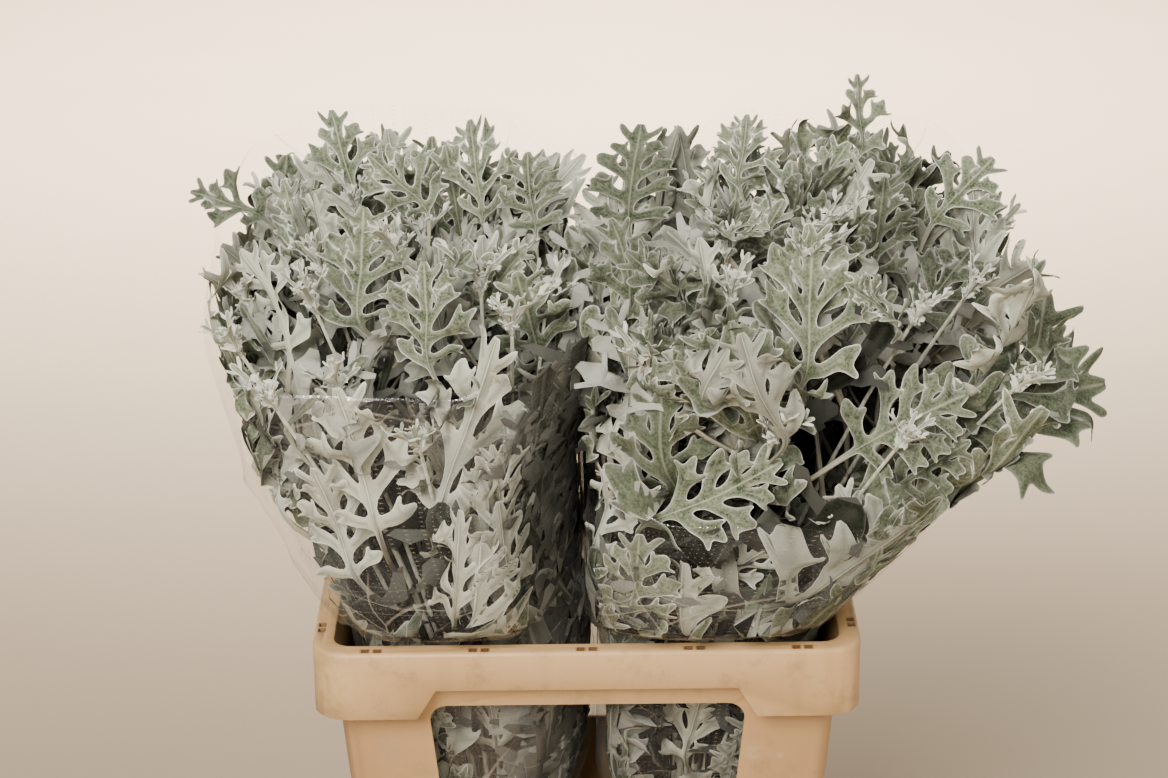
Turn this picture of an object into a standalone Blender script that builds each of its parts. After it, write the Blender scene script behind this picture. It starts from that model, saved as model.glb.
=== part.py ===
"""Two sleeved bunches of cut dusty miller standing in a hooded plastic flower bucket.

Metres, +Z up. The origin is the middle of the bucket's underside, on the surface it stands on.
+X is to the right of the bucket's front, and +Y points to its back.
"""

import math

import bmesh
import bpy
from mathutils import Vector

CLEARANCE = 0.0003  # between pieces that touch

# Bucket: a tapered box of one wall thickness, with a rim that turns over into a hood.
BUCKET_HEIGHT = 0.380
BUCKET_WALL = 0.003
RIM_HALF_X = 0.200
RIM_HALF_Y = 0.150
RIM_CORNER = 0.026
BASE_HALF_X = 0.156
BASE_HALF_Y = 0.106
WALL_DRAFT = 0.0822  # how far the wall leans out for each metre of height
WALL_CORNER = 0.017
FOOT_ROUND = 0.0015
RIM_ROUND_OUT = 0.0035
RIM_ROUND_IN = 0.002
CORNER_STEPS = 5

# Hood: deep at the corners and ends, shallow along the middle of the two long sides.
HOOD_DEEP_Z = 0.327
HOOD_SHALLOW_Z = 0.350
HOOD_STEP_INNER_X = 0.110
HOOD_STEP_OUTER_X = 0.124

# Windows: one through each long wall.
WINDOW_TOP_Z = 0.3295
WINDOW_BOTTOM_Z = 0.190
WINDOW_TOP_HALF_X = 0.1155
WINDOW_CORNER = 0.0125

# Slots: pairs of small drain slots through the flat top of the rim.
SLOTS_FROM_MIDDLE = (2, 1)  # pairs to each side of the middle one, along a long and a short side
SLOT_LONG = 0.0055
SLOT_WIDE = 0.004
SLOT_BAR = 0.0033
SLOT_INSET = 0.0055  # from the rim's outside to the middle of a slot
SLOT_STEP_X = 0.078
SLOT_STEP_Y = 0.104

# Sleeves: cones of clear film, drawn in at the tied stems and wide at the leaves.
SLEEVE_WALL = 0.0008
SLEEVE_SQUARENESS = 3.5  # exponent of the rounded cross-section, 2 being an ellipse
SLEEVE_SIDES = 24
SLEEVE_HEIGHTS = (0.060, 0.120, 0.185, 0.250, 0.360, 0.386, 0.420)
SLEEVE_MOUTH_STEPS = 3  # rings between the last of those heights and the mouth
SLEEVE_FOOT_Z = BUCKET_WALL + CLEARANCE

# Height, lowest x, highest x, lowest y and highest y of each sleeve's cross-sections.
LEFT_SLEEVE = (
    (0.003, -0.128, -0.028, -0.068, 0.068),
    (0.120, -0.130, -0.030, -0.062, 0.062),
    (0.250, -0.162, -0.014, -0.098, 0.098),
    (0.360, -0.179, -0.009, -0.128, 0.128),
    (0.386, -0.182, -0.009, -0.131, 0.130),
    (0.420, -0.205, -0.022, -0.172, 0.136),
    (0.500, -0.250, -0.010, -0.195, 0.152),
    (0.600, -0.276, 0.003, -0.203, 0.160),
    (0.700, -0.285, 0.008, -0.203, 0.166),
)
RIGHT_SLEEVE = (
    (0.003, 0.028, 0.128, -0.068, 0.068),
    (0.120, 0.030, 0.130, -0.062, 0.062),
    (0.250, 0.014, 0.162, -0.098, 0.098),
    (0.360, 0.009, 0.179, -0.128, 0.128),
    (0.386, 0.009, 0.182, -0.131, 0.130),
    (0.420, -0.017, 0.212, -0.176, 0.136),
    (0.500, -0.005, 0.292, -0.205, 0.152),
    (0.560, 0.002, 0.338, -0.210, 0.160),
    (0.700, 0.012, 0.350, -0.203, 0.168),
)
# Height of each mouth at the front and at the back, and where round the sleeve it starts to rise.
LEFT_MOUTH = (0.600, 0.700, -0.60)
RIGHT_MOUTH = (0.500, 0.690, -0.35)

# Stems and the elastic band that ties them.
STEM_RADIUS = 0.003
STEM_SIDES = 8
STEM_FREE_RINGS = 7  # above the tie
GRAIN_STEP = 0.004  # height between the two points that give a stem its direction
TIE_Z = 0.120
TIE_RADIUS = 0.013  # from the middle of the bunch to the middle of a stem at the tie
FOOT_SPREAD = 1.5  # how much wider than at the tie the stems' cut ends stand
STEM_FLARE = 1.6
BAND_HEIGHT = 0.004
BAND_WALL = 0.0015
BAND_SIDES = 36
BUNCH_X = 0.080  # from the middle of the bucket to the middle of each tied bunch

# Top of each stem; the last of each bunch rises through the middle of the tie.
LEFT_STEMS = (
    (-0.222, -0.060, 0.525),
    (-0.160, -0.118, 0.500),
    (-0.060, -0.115, 0.530),
    (-0.022, 0.010, 0.600),
    (-0.085, 0.100, 0.620),
    (-0.195, 0.065, 0.610),
    (-0.120, 0.000, 0.630),
)
RIGHT_STEMS = (
    (0.030, -0.095, 0.500),
    (0.120, -0.120, 0.500),
    (0.225, -0.080, 0.530),
    (0.245, 0.045, 0.610),
    (0.165, 0.100, 0.640),
    (0.050, 0.060, 0.610),
    (0.150, -0.010, 0.610),
)

# Leaves: name, stem, height where it grows, foot of the blade, its tip, width, and the way it faces.
FRONT = (0.0, -1.0, 0.15)
UP_FRONT = (0.0, -0.8, 0.6)
UP = (0.0, -0.3, 1.0)
LEFT = (-1.0, -0.3, 0.1)
RIGHT = (1.0, -0.3, 0.3)
BACK = (0.0, 1.0, 0.1)
BACK_LEFT = (-0.7, 0.7, 0.1)
BACK_RIGHT = (0.7, 0.7, 0.1)
LEAVES = (
    ("left_leaf_01", "left_stem_3", 0.440, (-0.102, -0.145, 0.485), (-0.055, -0.158, 0.625), 0.090, FRONT),
    ("left_leaf_02", "left_stem_2", 0.420, (-0.147, -0.150, 0.475), (-0.172, -0.160, 0.590), 0.075, FRONT),
    ("left_leaf_03", "left_stem_2", 0.385, (-0.165, -0.130, 0.430), (-0.192, -0.148, 0.525), 0.060, FRONT),
    ("left_leaf_04", "left_stem_1", 0.420, (-0.222, -0.085, 0.465), (-0.250, -0.070, 0.565), 0.060, LEFT),
    ("left_leaf_05", "left_stem_1", 0.520, (-0.212, -0.075, 0.585), (-0.250, -0.020, 0.645), 0.060, LEFT),
    ("left_leaf_06", "left_stem_6", 0.590, (-0.236, 0.030, 0.652), (-0.290, 0.025, 0.676), 0.045, UP_FRONT),
    ("left_leaf_07", "left_stem_3", 0.525, (-0.108, -0.125, 0.590), (-0.112, -0.110, 0.665), 0.065, UP_FRONT),
    ("left_leaf_08", "left_stem_7", 0.560, (-0.160, -0.075, 0.605), (-0.158, -0.030, 0.680), 0.065, UP_FRONT),
    ("left_leaf_09", "left_stem_6", 0.600, (-0.170, 0.050, 0.655), (-0.188, 0.080, 0.722), 0.060, UP_FRONT),
    ("left_leaf_10", "left_stem_7", 0.610, (-0.114, 0.030, 0.655), (-0.158, 0.030, 0.702), 0.060, UP_FRONT),
    ("left_leaf_11", "left_stem_5", 0.600, (-0.070, 0.045, 0.645), (-0.085, 0.085, 0.712), 0.060, UP_FRONT),
    ("left_leaf_12", "left_stem_4", 0.590, (-0.022, 0.030, 0.640), (-0.034, 0.055, 0.695), 0.055, UP_FRONT),
    ("left_leaf_13", "left_stem_6", 0.500, (-0.205, 0.095, 0.560), (-0.245, 0.112, 0.640), 0.060, BACK_LEFT),
    ("left_leaf_14", "left_stem_5", 0.545, (-0.135, 0.125, 0.590), (-0.150, 0.138, 0.690), 0.065, BACK),
    ("left_leaf_15", "left_stem_5", 0.420, (-0.105, 0.105, 0.470), (-0.100, 0.128, 0.570), 0.060, BACK),
    ("left_leaf_16", "left_stem_5", 0.500, (-0.060, 0.112, 0.560), (-0.052, 0.122, 0.650), 0.045, BACK),
    ("left_leaf_17", "left_stem_6", 0.420, (-0.170, 0.090, 0.455), (-0.190, 0.118, 0.545), 0.060, BACK),
    ("left_leaf_18", "left_stem_4", 0.500, (-0.040, -0.050, 0.560), (-0.055, -0.090, 0.650), 0.060, UP_FRONT),
    ("left_leaf_19", "left_stem_3", 0.230, (-0.068, -0.062, 0.255), (-0.074, -0.086, 0.322), 0.050, FRONT),
    ("right_leaf_01", "right_stem_1", 0.470, (0.020, -0.120, 0.525), (0.030, -0.130, 0.615), 0.036, FRONT),
    ("right_leaf_02", "right_stem_1", 0.410, (0.015, -0.115, 0.445), (0.018, -0.130, 0.515), 0.030, FRONT),
    ("right_leaf_03", "right_stem_1", 0.440, (0.050, -0.150, 0.480), (0.138, -0.168, 0.535), 0.065, FRONT),
    ("right_leaf_04", "right_stem_3", 0.470, (0.235, -0.115, 0.535), (0.382, -0.050, 0.545), 0.120, UP_FRONT),
    ("right_leaf_05", "right_stem_2", 0.490, (0.190, -0.150, 0.535), (0.268, -0.145, 0.575), 0.075, UP_FRONT),
    ("right_leaf_06", "right_stem_3", 0.440, (0.222, -0.135, 0.500), (0.270, -0.160, 0.545), 0.060, UP_FRONT),
    ("right_leaf_07", "right_stem_7", 0.520, (0.156, -0.125, 0.580), (0.163, -0.080, 0.675), 0.085, UP_FRONT),
    ("right_leaf_08", "right_stem_7", 0.600, (0.100, -0.030, 0.650), (0.128, -0.070, 0.668), 0.050, UP),
    ("right_leaf_09", "right_stem_6", 0.590, (0.042, 0.060, 0.635), (0.040, 0.095, 0.704), 0.065, UP_FRONT),
    ("right_leaf_10", "right_stem_5", 0.635, (0.208, 0.055, 0.690), (0.204, 0.050, 0.754), 0.045, UP_FRONT),
    ("right_leaf_11", "right_stem_4", 0.600, (0.262, 0.040, 0.640), (0.309, 0.060, 0.685), 0.070, UP_FRONT),
    ("right_leaf_12", "right_stem_4", 0.540, (0.245, -0.030, 0.590), (0.284, -0.020, 0.640), 0.065, UP_FRONT),
    ("right_leaf_13", "right_stem_4", 0.510, (0.262, 0.085, 0.560), (0.310, 0.100, 0.630), 0.060, BACK_RIGHT),
    ("right_leaf_14", "right_stem_5", 0.560, (0.130, 0.125, 0.600), (0.118, 0.136, 0.690), 0.060, BACK),
    ("right_leaf_15", "right_stem_6", 0.430, (0.095, 0.095, 0.460), (0.090, 0.124, 0.555), 0.060, BACK),
    ("right_leaf_16", "right_stem_5", 0.430, (0.180, 0.098, 0.470), (0.205, 0.122, 0.560), 0.060, BACK),
    ("right_leaf_17", "right_stem_6", 0.510, (0.056, 0.105, 0.565), (0.054, 0.114, 0.645), 0.045, BACK),
    ("right_leaf_18", "right_stem_2", 0.400, (0.095, -0.135, 0.425), (0.140, -0.158, 0.470), 0.045, FRONT),
    ("right_leaf_19", "right_stem_4", 0.420, (0.215, 0.010, 0.450), (0.265, 0.020, 0.530), 0.060, RIGHT),
    ("right_leaf_20", "right_stem_2", 0.225, (0.075, -0.062, 0.245), (0.086, -0.086, 0.308), 0.050, FRONT),
    ("right_leaf_21", "right_stem_5", 0.600, (0.120, 0.085, 0.655), (0.126, 0.105, 0.708), 0.050, UP_FRONT),
)

# The blade: lobes in pairs, and how far along the blade each pair's root begins and ends.
PETIOLE_ROWS = 4
LEAF_THICKNESS = 0.0014
PETIOLE_HALF_WIDTH = 0.0016
PETIOLE_OUT = 0.006  # how far a petiole leaves its stem squarely before it turns
MIDRIB_HALF_SHARE = 0.11  # of the blade's width
LOBE_ROOTS = ((0.08, 0.18), (0.29, 0.39), (0.50, 0.60), (0.70, 0.79))
LOBE_LENGTHS = (0.60, 0.90, 1.00, 0.75)  # of half the blade's width
LOBE_SWEEP = 0.55  # how far a lobe leans forward for each metre that it reaches out
LOBE_SPREAD = 0.12  # how far each of a lobe's corners lies to the side of its middle, the same way
LOBE_DROOP = 0.12
BLADE_ARCH = 0.06  # how far the blade's middle stands proud of the line from foot to tip
PETIOLE_BEND = 0.75  # where along the petiole its last bend lies
TIP_LOBE_HALF_SHARE = 0.22
TIP_LOBE_START = 0.90


def clear_scene():
    """Removes whatever the file opened with."""
    for thing in list(bpy.data.objects):
        bpy.data.objects.remove(thing)


def material(name, colour, roughness, transmission=0.0):
    """A Principled material of one colour."""
    made = bpy.data.materials.new(name)
    made.use_nodes = True
    shader = made.node_tree.nodes["Principled BSDF"]
    shader.inputs["Base Color"].default_value = (*colour, 1.0)
    shader.inputs["Roughness"].default_value = roughness
    shader.inputs["Transmission Weight"].default_value = transmission
    made.diffuse_color = (*colour, 1.0)
    return made


def new_object(name, mesh_builder, finish, smooth_angle=35.0):
    """A named object from a bmesh, smooth except at its sharp edges."""
    bmesh.ops.recalc_face_normals(mesh_builder, faces=mesh_builder.faces)
    mesh = bpy.data.meshes.new(name)
    mesh_builder.to_mesh(mesh)
    mesh_builder.free()
    mesh.shade_smooth()
    mesh.set_sharp_from_angle(angle=math.radians(smooth_angle))
    mesh.materials.append(finish)
    made = bpy.data.objects.new(name, mesh)
    bpy.context.scene.collection.objects.link(made)
    return made


def bridge_rings(mesh_builder, rings, closed_profile=False):
    """Joins closed rings of points into one skin, and caps its two ends unless the profile closes."""
    verts = [[mesh_builder.verts.new(point) for point in ring] for ring in rings]
    pairs = list(zip(verts, verts[1:]))
    if closed_profile:
        pairs.append((verts[-1], verts[0]))
    for lower, upper in pairs:
        count = len(lower)
        for i in range(count):
            j = (i + 1) % count
            mesh_builder.faces.new((lower[i], lower[j], upper[j], upper[i]))
    if not closed_profile:
        mesh_builder.faces.new(list(reversed(verts[0])))
        mesh_builder.faces.new(verts[-1])


def arc(centre_x, centre_y, radius, start_degrees, end_degrees, steps):
    """Points along an arc, both ends included."""
    points = []
    for i in range(steps + 1):
        angle = math.radians(start_degrees + (end_degrees - start_degrees) * i / steps)
        points.append((centre_x + radius * math.cos(angle), centre_y + radius * math.sin(angle)))
    return points


def bucket_outline(half_x, half_y, radius):
    """A rectangle with round corners, with points on its long sides where the hood steps."""
    steps = (HOOD_STEP_OUTER_X, HOOD_STEP_INNER_X)
    front = [(-x, -half_y) for x in steps] + [(x, -half_y) for x in reversed(steps)]
    back = [(-x, -y) for x, y in front]
    corner_x = half_x - radius
    corner_y = half_y - radius
    outline = list(front)
    outline += arc(corner_x, -corner_y, radius, -90, 0, CORNER_STEPS)
    outline += arc(corner_x, corner_y, radius, 0, 90, CORNER_STEPS)
    outline += back
    outline += arc(-corner_x, corner_y, radius, 90, 180, CORNER_STEPS)
    outline += arc(-corner_x, -corner_y, radius, 180, 270, CORNER_STEPS)
    return outline


def hood_bottom(x):
    """Height of the hood's lower edge above a point of the rim."""
    along = (abs(x) - HOOD_STEP_INNER_X) / (HOOD_STEP_OUTER_X - HOOD_STEP_INNER_X)
    along = min(max(along, 0.0), 1.0)
    return HOOD_SHALLOW_Z + (HOOD_DEEP_Z - HOOD_SHALLOW_Z) * along


def bucket_ring(inset_from, inset, radius, height):
    """One ring of the bucket's skin; height None follows the hood's lower edge."""
    half_x = inset_from[0] - inset
    half_y = inset_from[1] - inset
    outline = bucket_outline(half_x, half_y, radius)
    return [Vector((x, y, hood_bottom(x) if height is None else height)) for x, y in outline]


def wall_at(height):
    """Half sizes of the wall's outside at a height."""
    lean = WALL_DRAFT * height
    return BASE_HALF_X + lean, BASE_HALF_Y + lean


def bucket_body():
    """The bucket's wall, up its outside, over the rim and down its inside to the foot."""
    rim = (RIM_HALF_X, RIM_HALF_Y)
    hood_top = BUCKET_HEIGHT - BUCKET_WALL
    inside_top = wall_at(BUCKET_HEIGHT)
    inside_corner = WALL_CORNER - BUCKET_WALL
    rings = [
        bucket_ring(wall_at(0.0), FOOT_ROUND, WALL_CORNER - FOOT_ROUND, 0.0),
        bucket_ring(wall_at(FOOT_ROUND), 0.0, WALL_CORNER, FOOT_ROUND),
        bucket_ring(wall_at(hood_top), 0.0, WALL_CORNER, hood_top),
        bucket_ring(rim, BUCKET_WALL, RIM_CORNER - BUCKET_WALL, hood_top),
        bucket_ring(rim, BUCKET_WALL, RIM_CORNER - BUCKET_WALL, None),
        bucket_ring(rim, 0.0, RIM_CORNER, None),
    ]
    for degrees in (0, 30, 60, 90):
        across = RIM_ROUND_OUT * (1 - math.cos(math.radians(degrees)))
        down = RIM_ROUND_OUT * (1 - math.sin(math.radians(degrees)))
        rings.append(bucket_ring(rim, across, RIM_CORNER - across, BUCKET_HEIGHT - down))
    for degrees in (90, 45, 0):
        across = BUCKET_WALL - RIM_ROUND_IN * (1 - math.cos(math.radians(degrees)))
        down = RIM_ROUND_IN * (1 - math.sin(math.radians(degrees)))
        rings.append(bucket_ring(inside_top, across, inside_corner, BUCKET_HEIGHT - down))
    rings.append(bucket_ring(wall_at(0.0), BUCKET_WALL, inside_corner, 0.0))
    skin = bmesh.new()
    bridge_rings(skin, rings, closed_profile=True)
    return skin


def bucket_floor():
    """The bucket's floor, a flat plate inside the foot of the wall."""
    inset = BUCKET_WALL + CLEARANCE
    rings = [bucket_ring(wall_at(0.0), inset, WALL_CORNER - inset, height) for height in (0.0, BUCKET_WALL)]
    plate = bmesh.new()
    bridge_rings(plate, rings)
    return plate


def cut_away(target, cutter_mesh, name):
    """Takes the cutter's shape out of an object."""
    cutter = new_object(name, cutter_mesh, target.data.materials[0])
    cutter.hide_render = True
    cutter.display_type = "WIRE"
    boolean = target.modifiers.new(name, "BOOLEAN")
    boolean.operation = "DIFFERENCE"
    boolean.solver = "EXACT"
    boolean.object = cutter


def window_cutter():
    """A tapered opening with round corners, as long as the bucket is deep."""
    bottom_half = WINDOW_TOP_HALF_X - WALL_DRAFT * (WINDOW_TOP_Z - WINDOW_BOTTOM_Z)
    low = WINDOW_BOTTOM_Z + WINDOW_CORNER
    high = WINDOW_TOP_Z - WINDOW_CORNER
    outline = arc(bottom_half - WINDOW_CORNER, low, WINDOW_CORNER, -90, 0, CORNER_STEPS)
    outline += arc(WINDOW_TOP_HALF_X - WINDOW_CORNER, high, WINDOW_CORNER, 0, 90, CORNER_STEPS)
    outline += [(-x, z) for x, z in reversed(outline)]
    rings = [[Vector((x, y, z)) for x, z in outline] for y in (-RIM_HALF_Y, RIM_HALF_Y)]
    opening = bmesh.new()
    bridge_rings(opening, rings)
    return opening


def add_box(mesh_builder, centre, half):
    """Adds one closed box."""
    corners = [(-1, -1), (1, -1), (1, 1), (-1, 1)]
    rings = []
    for side in (-1, 1):
        z = centre[2] + side * half[2]
        rings.append([Vector((centre[0] + i * half[0], centre[1] + j * half[1], z)) for i, j in corners])
    bridge_rings(mesh_builder, rings)


def slot_cutter():
    """All the slots of the rim, in pairs, with a bar left between the two of a pair."""
    slots = bmesh.new()
    aside = 0.5 * (SLOT_BAR + SLOT_LONG)
    half_long = 0.5 * SLOT_LONG
    half_wide = 0.5 * SLOT_WIDE
    middle_z = BUCKET_HEIGHT - 0.5 * BUCKET_WALL
    for end in (-1, 1):
        for place in range(-SLOTS_FROM_MIDDLE[0], SLOTS_FROM_MIDDLE[0] + 1):
            for side in (-1, 1):
                centre = (place * SLOT_STEP_X + side * aside, end * (RIM_HALF_Y - SLOT_INSET), middle_z)
                add_box(slots, centre, (half_long, half_wide, BUCKET_WALL))
        for place in range(-SLOTS_FROM_MIDDLE[1], SLOTS_FROM_MIDDLE[1] + 1):
            for side in (-1, 1):
                centre = (end * (RIM_HALF_X - SLOT_INSET), place * SLOT_STEP_Y + side * aside, middle_z)
                add_box(slots, centre, (half_wide, half_long, BUCKET_WALL))
    return slots


def make_bucket():
    """The moulded bucket with its windows and slots, its floor a solid of its own."""
    finish = material("cream polypropylene", (0.58, 0.42, 0.27), 0.5)
    bucket = new_object("flower_bucket", bucket_body(), finish)
    cut_away(bucket, window_cutter(), "window_cutter")
    cut_away(bucket, slot_cutter(), "slot_cutter")
    new_object("bucket_floor", bucket_floor(), finish)


def sleeve_section(sections, height):
    """The sleeve's extents at a height, read between the two nearest cross-sections."""
    for lower, upper in zip(sections, sections[1:]):
        if height <= upper[0]:
            break
    along = (height - lower[0]) / (upper[0] - lower[0])
    return [a + (b - a) * along for a, b in zip(lower[1:], upper[1:])]


def mouth_height(mouth, sine):
    """Height of the mouth at a place round the sleeve, sine being -1 at the front and 1 at the back."""
    front, back, rise_from = mouth
    along = min(max((sine - rise_from) / (1.0 - rise_from), 0.0), 1.0)
    return front + (back - front) * along * along * (3 - 2 * along)


def rounded_power(value):
    """Turns a sine or cosine into the squarer curve of the sleeve's cross-section."""
    return math.copysign(abs(value) ** (2.0 / SLEEVE_SQUARENESS), value)


def sleeve_rings(sections, mouth, inset):
    """Rings of the sleeve from its foot to its mouth."""
    rings = []
    last = SLEEVE_HEIGHTS[-1]
    steps = [(height, 0.0) for height in (SLEEVE_FOOT_Z, *SLEEVE_HEIGHTS)]
    steps += [(last, (i + 1) / SLEEVE_MOUTH_STEPS) for i in range(SLEEVE_MOUTH_STEPS)]
    for start, share in steps:
        ring = []
        for i in range(SLEEVE_SIDES):
            angle = 2 * math.pi * (i + 0.5) / SLEEVE_SIDES
            top = mouth_height(mouth, math.sin(angle))
            height = start + (top - start) * share
            low_x, high_x, low_y, high_y = sleeve_section(sections, height)
            half_x = 0.5 * (high_x - low_x) - inset
            half_y = 0.5 * (high_y - low_y) - inset
            x = 0.5 * (low_x + high_x) + half_x * rounded_power(math.cos(angle))
            y = 0.5 * (low_y + high_y) + half_y * rounded_power(math.sin(angle))
            ring.append(Vector((x, y, height)))
        rings.append(ring)
    return rings


def make_sleeve(name, sections, mouth):
    """A film sleeve, open at both ends."""
    outside = sleeve_rings(sections, mouth, 0.0)
    inside = sleeve_rings(sections, mouth, SLEEVE_WALL)
    skin = bmesh.new()
    bridge_rings(skin, outside + inside[::-1], closed_profile=True)
    new_object(name, skin, material(name + " film", (0.9, 0.9, 0.9), 0.1, 1.0), 60.0)


def stem_point(start, top, height):
    """The middle of a stem at a height: upright at the tie, leaning out above it."""
    middle, offset = start
    waist = middle + offset
    if height < TIE_Z:
        share = ((TIE_Z - height) / TIE_Z) ** STEM_FLARE
        spot = waist + offset * (FOOT_SPREAD - 1.0) * share
    else:
        share = ((height - TIE_Z) / (top[2] - TIE_Z)) ** STEM_FLARE
        spot = waist + (Vector((top[0], top[1], 0.0)) - waist) * share
    return Vector((spot.x, spot.y, height))


def stem_starts(tops, centre_x):
    """Where each stem passes the tie: all but the last stand in a ring, in the order of their tops."""
    middle = Vector((centre_x, 0.0, 0.0))
    count = len(tops) - 1
    lean = [math.atan2(top[1], top[0] - centre_x) for top in tops[:-1]]
    first = sorted(lean)[0]
    order = sorted(range(count), key=lambda i: lean[i])
    starts = [None] * len(tops)
    for rank, i in enumerate(order):
        angle = first + 2 * math.pi * rank / count
        starts[i] = (middle, TIE_RADIUS * Vector((math.cos(angle), math.sin(angle), 0.0)))
    starts[-1] = (middle, Vector((0.0, 0.0, 0.0)))
    return starts


def frame_across(tangent, facing):
    """Two directions square to a tangent: one across, and one as near as can be to facing."""
    across = tangent.cross(facing).normalized()
    return across, across.cross(tangent).normalized()


def make_stem(name, start, top, finish):
    """One stem, cut square at both ends."""
    foot = BUCKET_WALL + CLEARANCE
    tied = (TIE_Z - BAND_HEIGHT, TIE_Z + BAND_HEIGHT)
    heights = [foot, 0.5 * TIE_Z, *tied]
    heights += [tied[1] + (top[2] - tied[1]) * (i + 1) / STEM_FREE_RINGS for i in range(STEM_FREE_RINGS)]
    rings = []
    for i, height in enumerate(heights):
        here = stem_point(start, top, height)
        ahead = stem_point(start, top, min(height + GRAIN_STEP, top[2]))
        behind = stem_point(start, top, max(height - GRAIN_STEP, foot))
        tangent = (ahead - behind).normalized()
        if i == 0:
            tangent = Vector((0.0, 0.0, 1.0))
        across, up = frame_across(tangent, Vector((0.0, 1.0, 0.0)))
        ring = []
        for k in range(STEM_SIDES):
            angle = 2 * math.pi * k / STEM_SIDES
            ring.append(here + STEM_RADIUS * (math.cos(angle) * across + math.sin(angle) * up))
        rings.append(ring)
    tube = bmesh.new()
    bridge_rings(tube, rings)
    new_object(name, tube, finish)


def make_band(name, centre_x):
    """The elastic band round a bunch's stems."""
    inner = TIE_RADIUS + STEM_RADIUS + CLEARANCE
    outer = inner + BAND_WALL
    rings = []
    profile = ((inner, -0.5), (outer, -0.5), (outer, 0.5), (inner, 0.5))
    for radius, side in profile:
        circle = arc(centre_x, 0.0, radius / math.cos(math.pi / BAND_SIDES), 0, 360, BAND_SIDES)[:-1]
        rings.append([Vector((x, y, TIE_Z + side * BAND_HEIGHT)) for x, y in circle])
    loop = bmesh.new()
    bridge_rings(loop, rings, closed_profile=True)
    new_object(name, loop, material(name + " rubber", (0.55, 0.40, 0.20), 0.7))


def smooth_point(points, along):
    """A point on the smooth curve through the given points, along running from 0 to 1."""
    spans = len(points) - 1
    place = min(max(along, 0.0), 1.0) * spans
    i = min(int(place), spans - 1)
    t = place - i
    p1, p2 = points[i], points[i + 1]
    p0 = points[i - 1] if i else p1 + (p1 - p2)
    p3 = points[i + 2] if i + 2 <= spans else p2 + (p2 - p1)
    return 0.5 * (
        2 * p1
        + (p2 - p0) * t
        + (2 * p0 - 5 * p1 + 4 * p2 - p3) * t * t
        + (3 * p1 - p0 - 3 * p2 + p3) * t * t * t
    )


def leaf_rows(root, out, foot, tip, facing, width):
    """Rows across the leaf from its stem to its tip: middle, across, forward, up and half width."""
    middle = 0.5 * (foot + tip) + BLADE_ARCH * (tip - foot).length * facing
    turn = root + out * PETIOLE_OUT
    petiole = [root, turn, foot]
    blade = [foot, middle, tip]
    spots = [(root, PETIOLE_HALF_WIDTH), (turn, PETIOLE_HALF_WIDTH)]
    spots.append((smooth_point(petiole, PETIOLE_BEND), PETIOLE_HALF_WIDTH))
    spots.append((foot, PETIOLE_HALF_WIDTH))
    half = MIDRIB_HALF_SHARE * width
    for start, end in LOBE_ROOTS:
        spots.append((smooth_point(blade, start), half))
        spots.append((smooth_point(blade, end), half))
    spots.append((smooth_point(blade, TIP_LOBE_START), TIP_LOBE_HALF_SHARE * width))
    spots.append((tip, 0.5 * TIP_LOBE_HALF_SHARE * width))
    rows = []
    for i, (spot, half_width) in enumerate(spots):
        before = spots[max(i - 1, 0)][0]
        after = spots[min(i + 1, len(spots) - 1)][0]
        forward = (after - before).normalized() if i > 1 else out
        across, up = frame_across(forward, facing)
        rows.append((spot, across, forward, up, half_width))
    return rows


def leaf_mesh(rows, width):
    """The leaf as one sheet of four-sided faces: a midrib strip with a lobe from each side of its pairs."""
    sheet = bmesh.new()
    left = [sheet.verts.new(spot - across * half) for spot, across, forward, up, half in rows]
    right = [sheet.verts.new(spot + across * half) for spot, across, forward, up, half in rows]
    for i in range(len(rows) - 1):
        sheet.faces.new((left[i], right[i], right[i + 1], left[i + 1]))
    for pair, share in enumerate(LOBE_LENGTHS):
        i = PETIOLE_ROWS + 2 * pair
        reach = 0.5 * width * share
        for side, edge in ((-1, left), (1, right)):
            ends = []
            for k, spread in ((i, -LOBE_SPREAD), (i + 1, LOBE_SPREAD)):
                spot, across, forward, up, half = rows[k]
                end = spot + side * reach * across + (LOBE_SWEEP + spread) * reach * forward
                ends.append(sheet.verts.new(end - LOBE_DROOP * reach * up))
            face = (edge[i], edge[i + 1], ends[1], ends[0])
            sheet.faces.new(face if side < 0 else face[::-1])
    return sheet


def make_leaf(leaf, stems, finish):
    """One leaf, its petiole ending just clear of the stem that bears it."""
    name, stem, height, foot, tip, width, facing = leaf
    start, top = stems[stem]
    foot = Vector(foot)
    tip = Vector(tip)
    facing = Vector(facing).normalized()
    here = stem_point(start, top, height)
    grain = (stem_point(start, top, height + GRAIN_STEP) - here).normalized()
    out = foot - here
    out = (out - grain * out.dot(grain)).normalized()
    root = here + out * (STEM_RADIUS + CLEARANCE)
    rows = leaf_rows(root, out, foot, tip, facing, width)
    made = new_object(name, leaf_mesh(rows, width), finish)
    skin = made.modifiers.new("felt", "SOLIDIFY")
    skin.thickness = LEAF_THICKNESS
    skin.offset = 0.0


def main():
    """Builds the bucket, then each bunch from its sleeve inwards."""
    clear_scene()
    make_bucket()
    make_sleeve("left_sleeve", LEFT_SLEEVE, LEFT_MOUTH)
    make_sleeve("right_sleeve", RIGHT_SLEEVE, RIGHT_MOUTH)
    stems = {}
    for side, tops in ((-1, LEFT_STEMS), (1, RIGHT_STEMS)):
        bunch = "left" if side < 0 else "right"
        starts = stem_starts(tops, side * BUNCH_X)
        for number, (start, top) in enumerate(zip(starts, tops), 1):
            name = f"{bunch}_stem_{number}"
            stems[name] = (start, top)
            make_stem(name, start, top, material(name + " bark", (0.55, 0.56, 0.45), 0.9))
        make_band(f"{bunch}_band", side * BUNCH_X)
    for leaf in LEAVES:
        make_leaf(leaf, stems, material(leaf[0] + " felt", (0.42, 0.46, 0.38), 0.9))


main()
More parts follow.
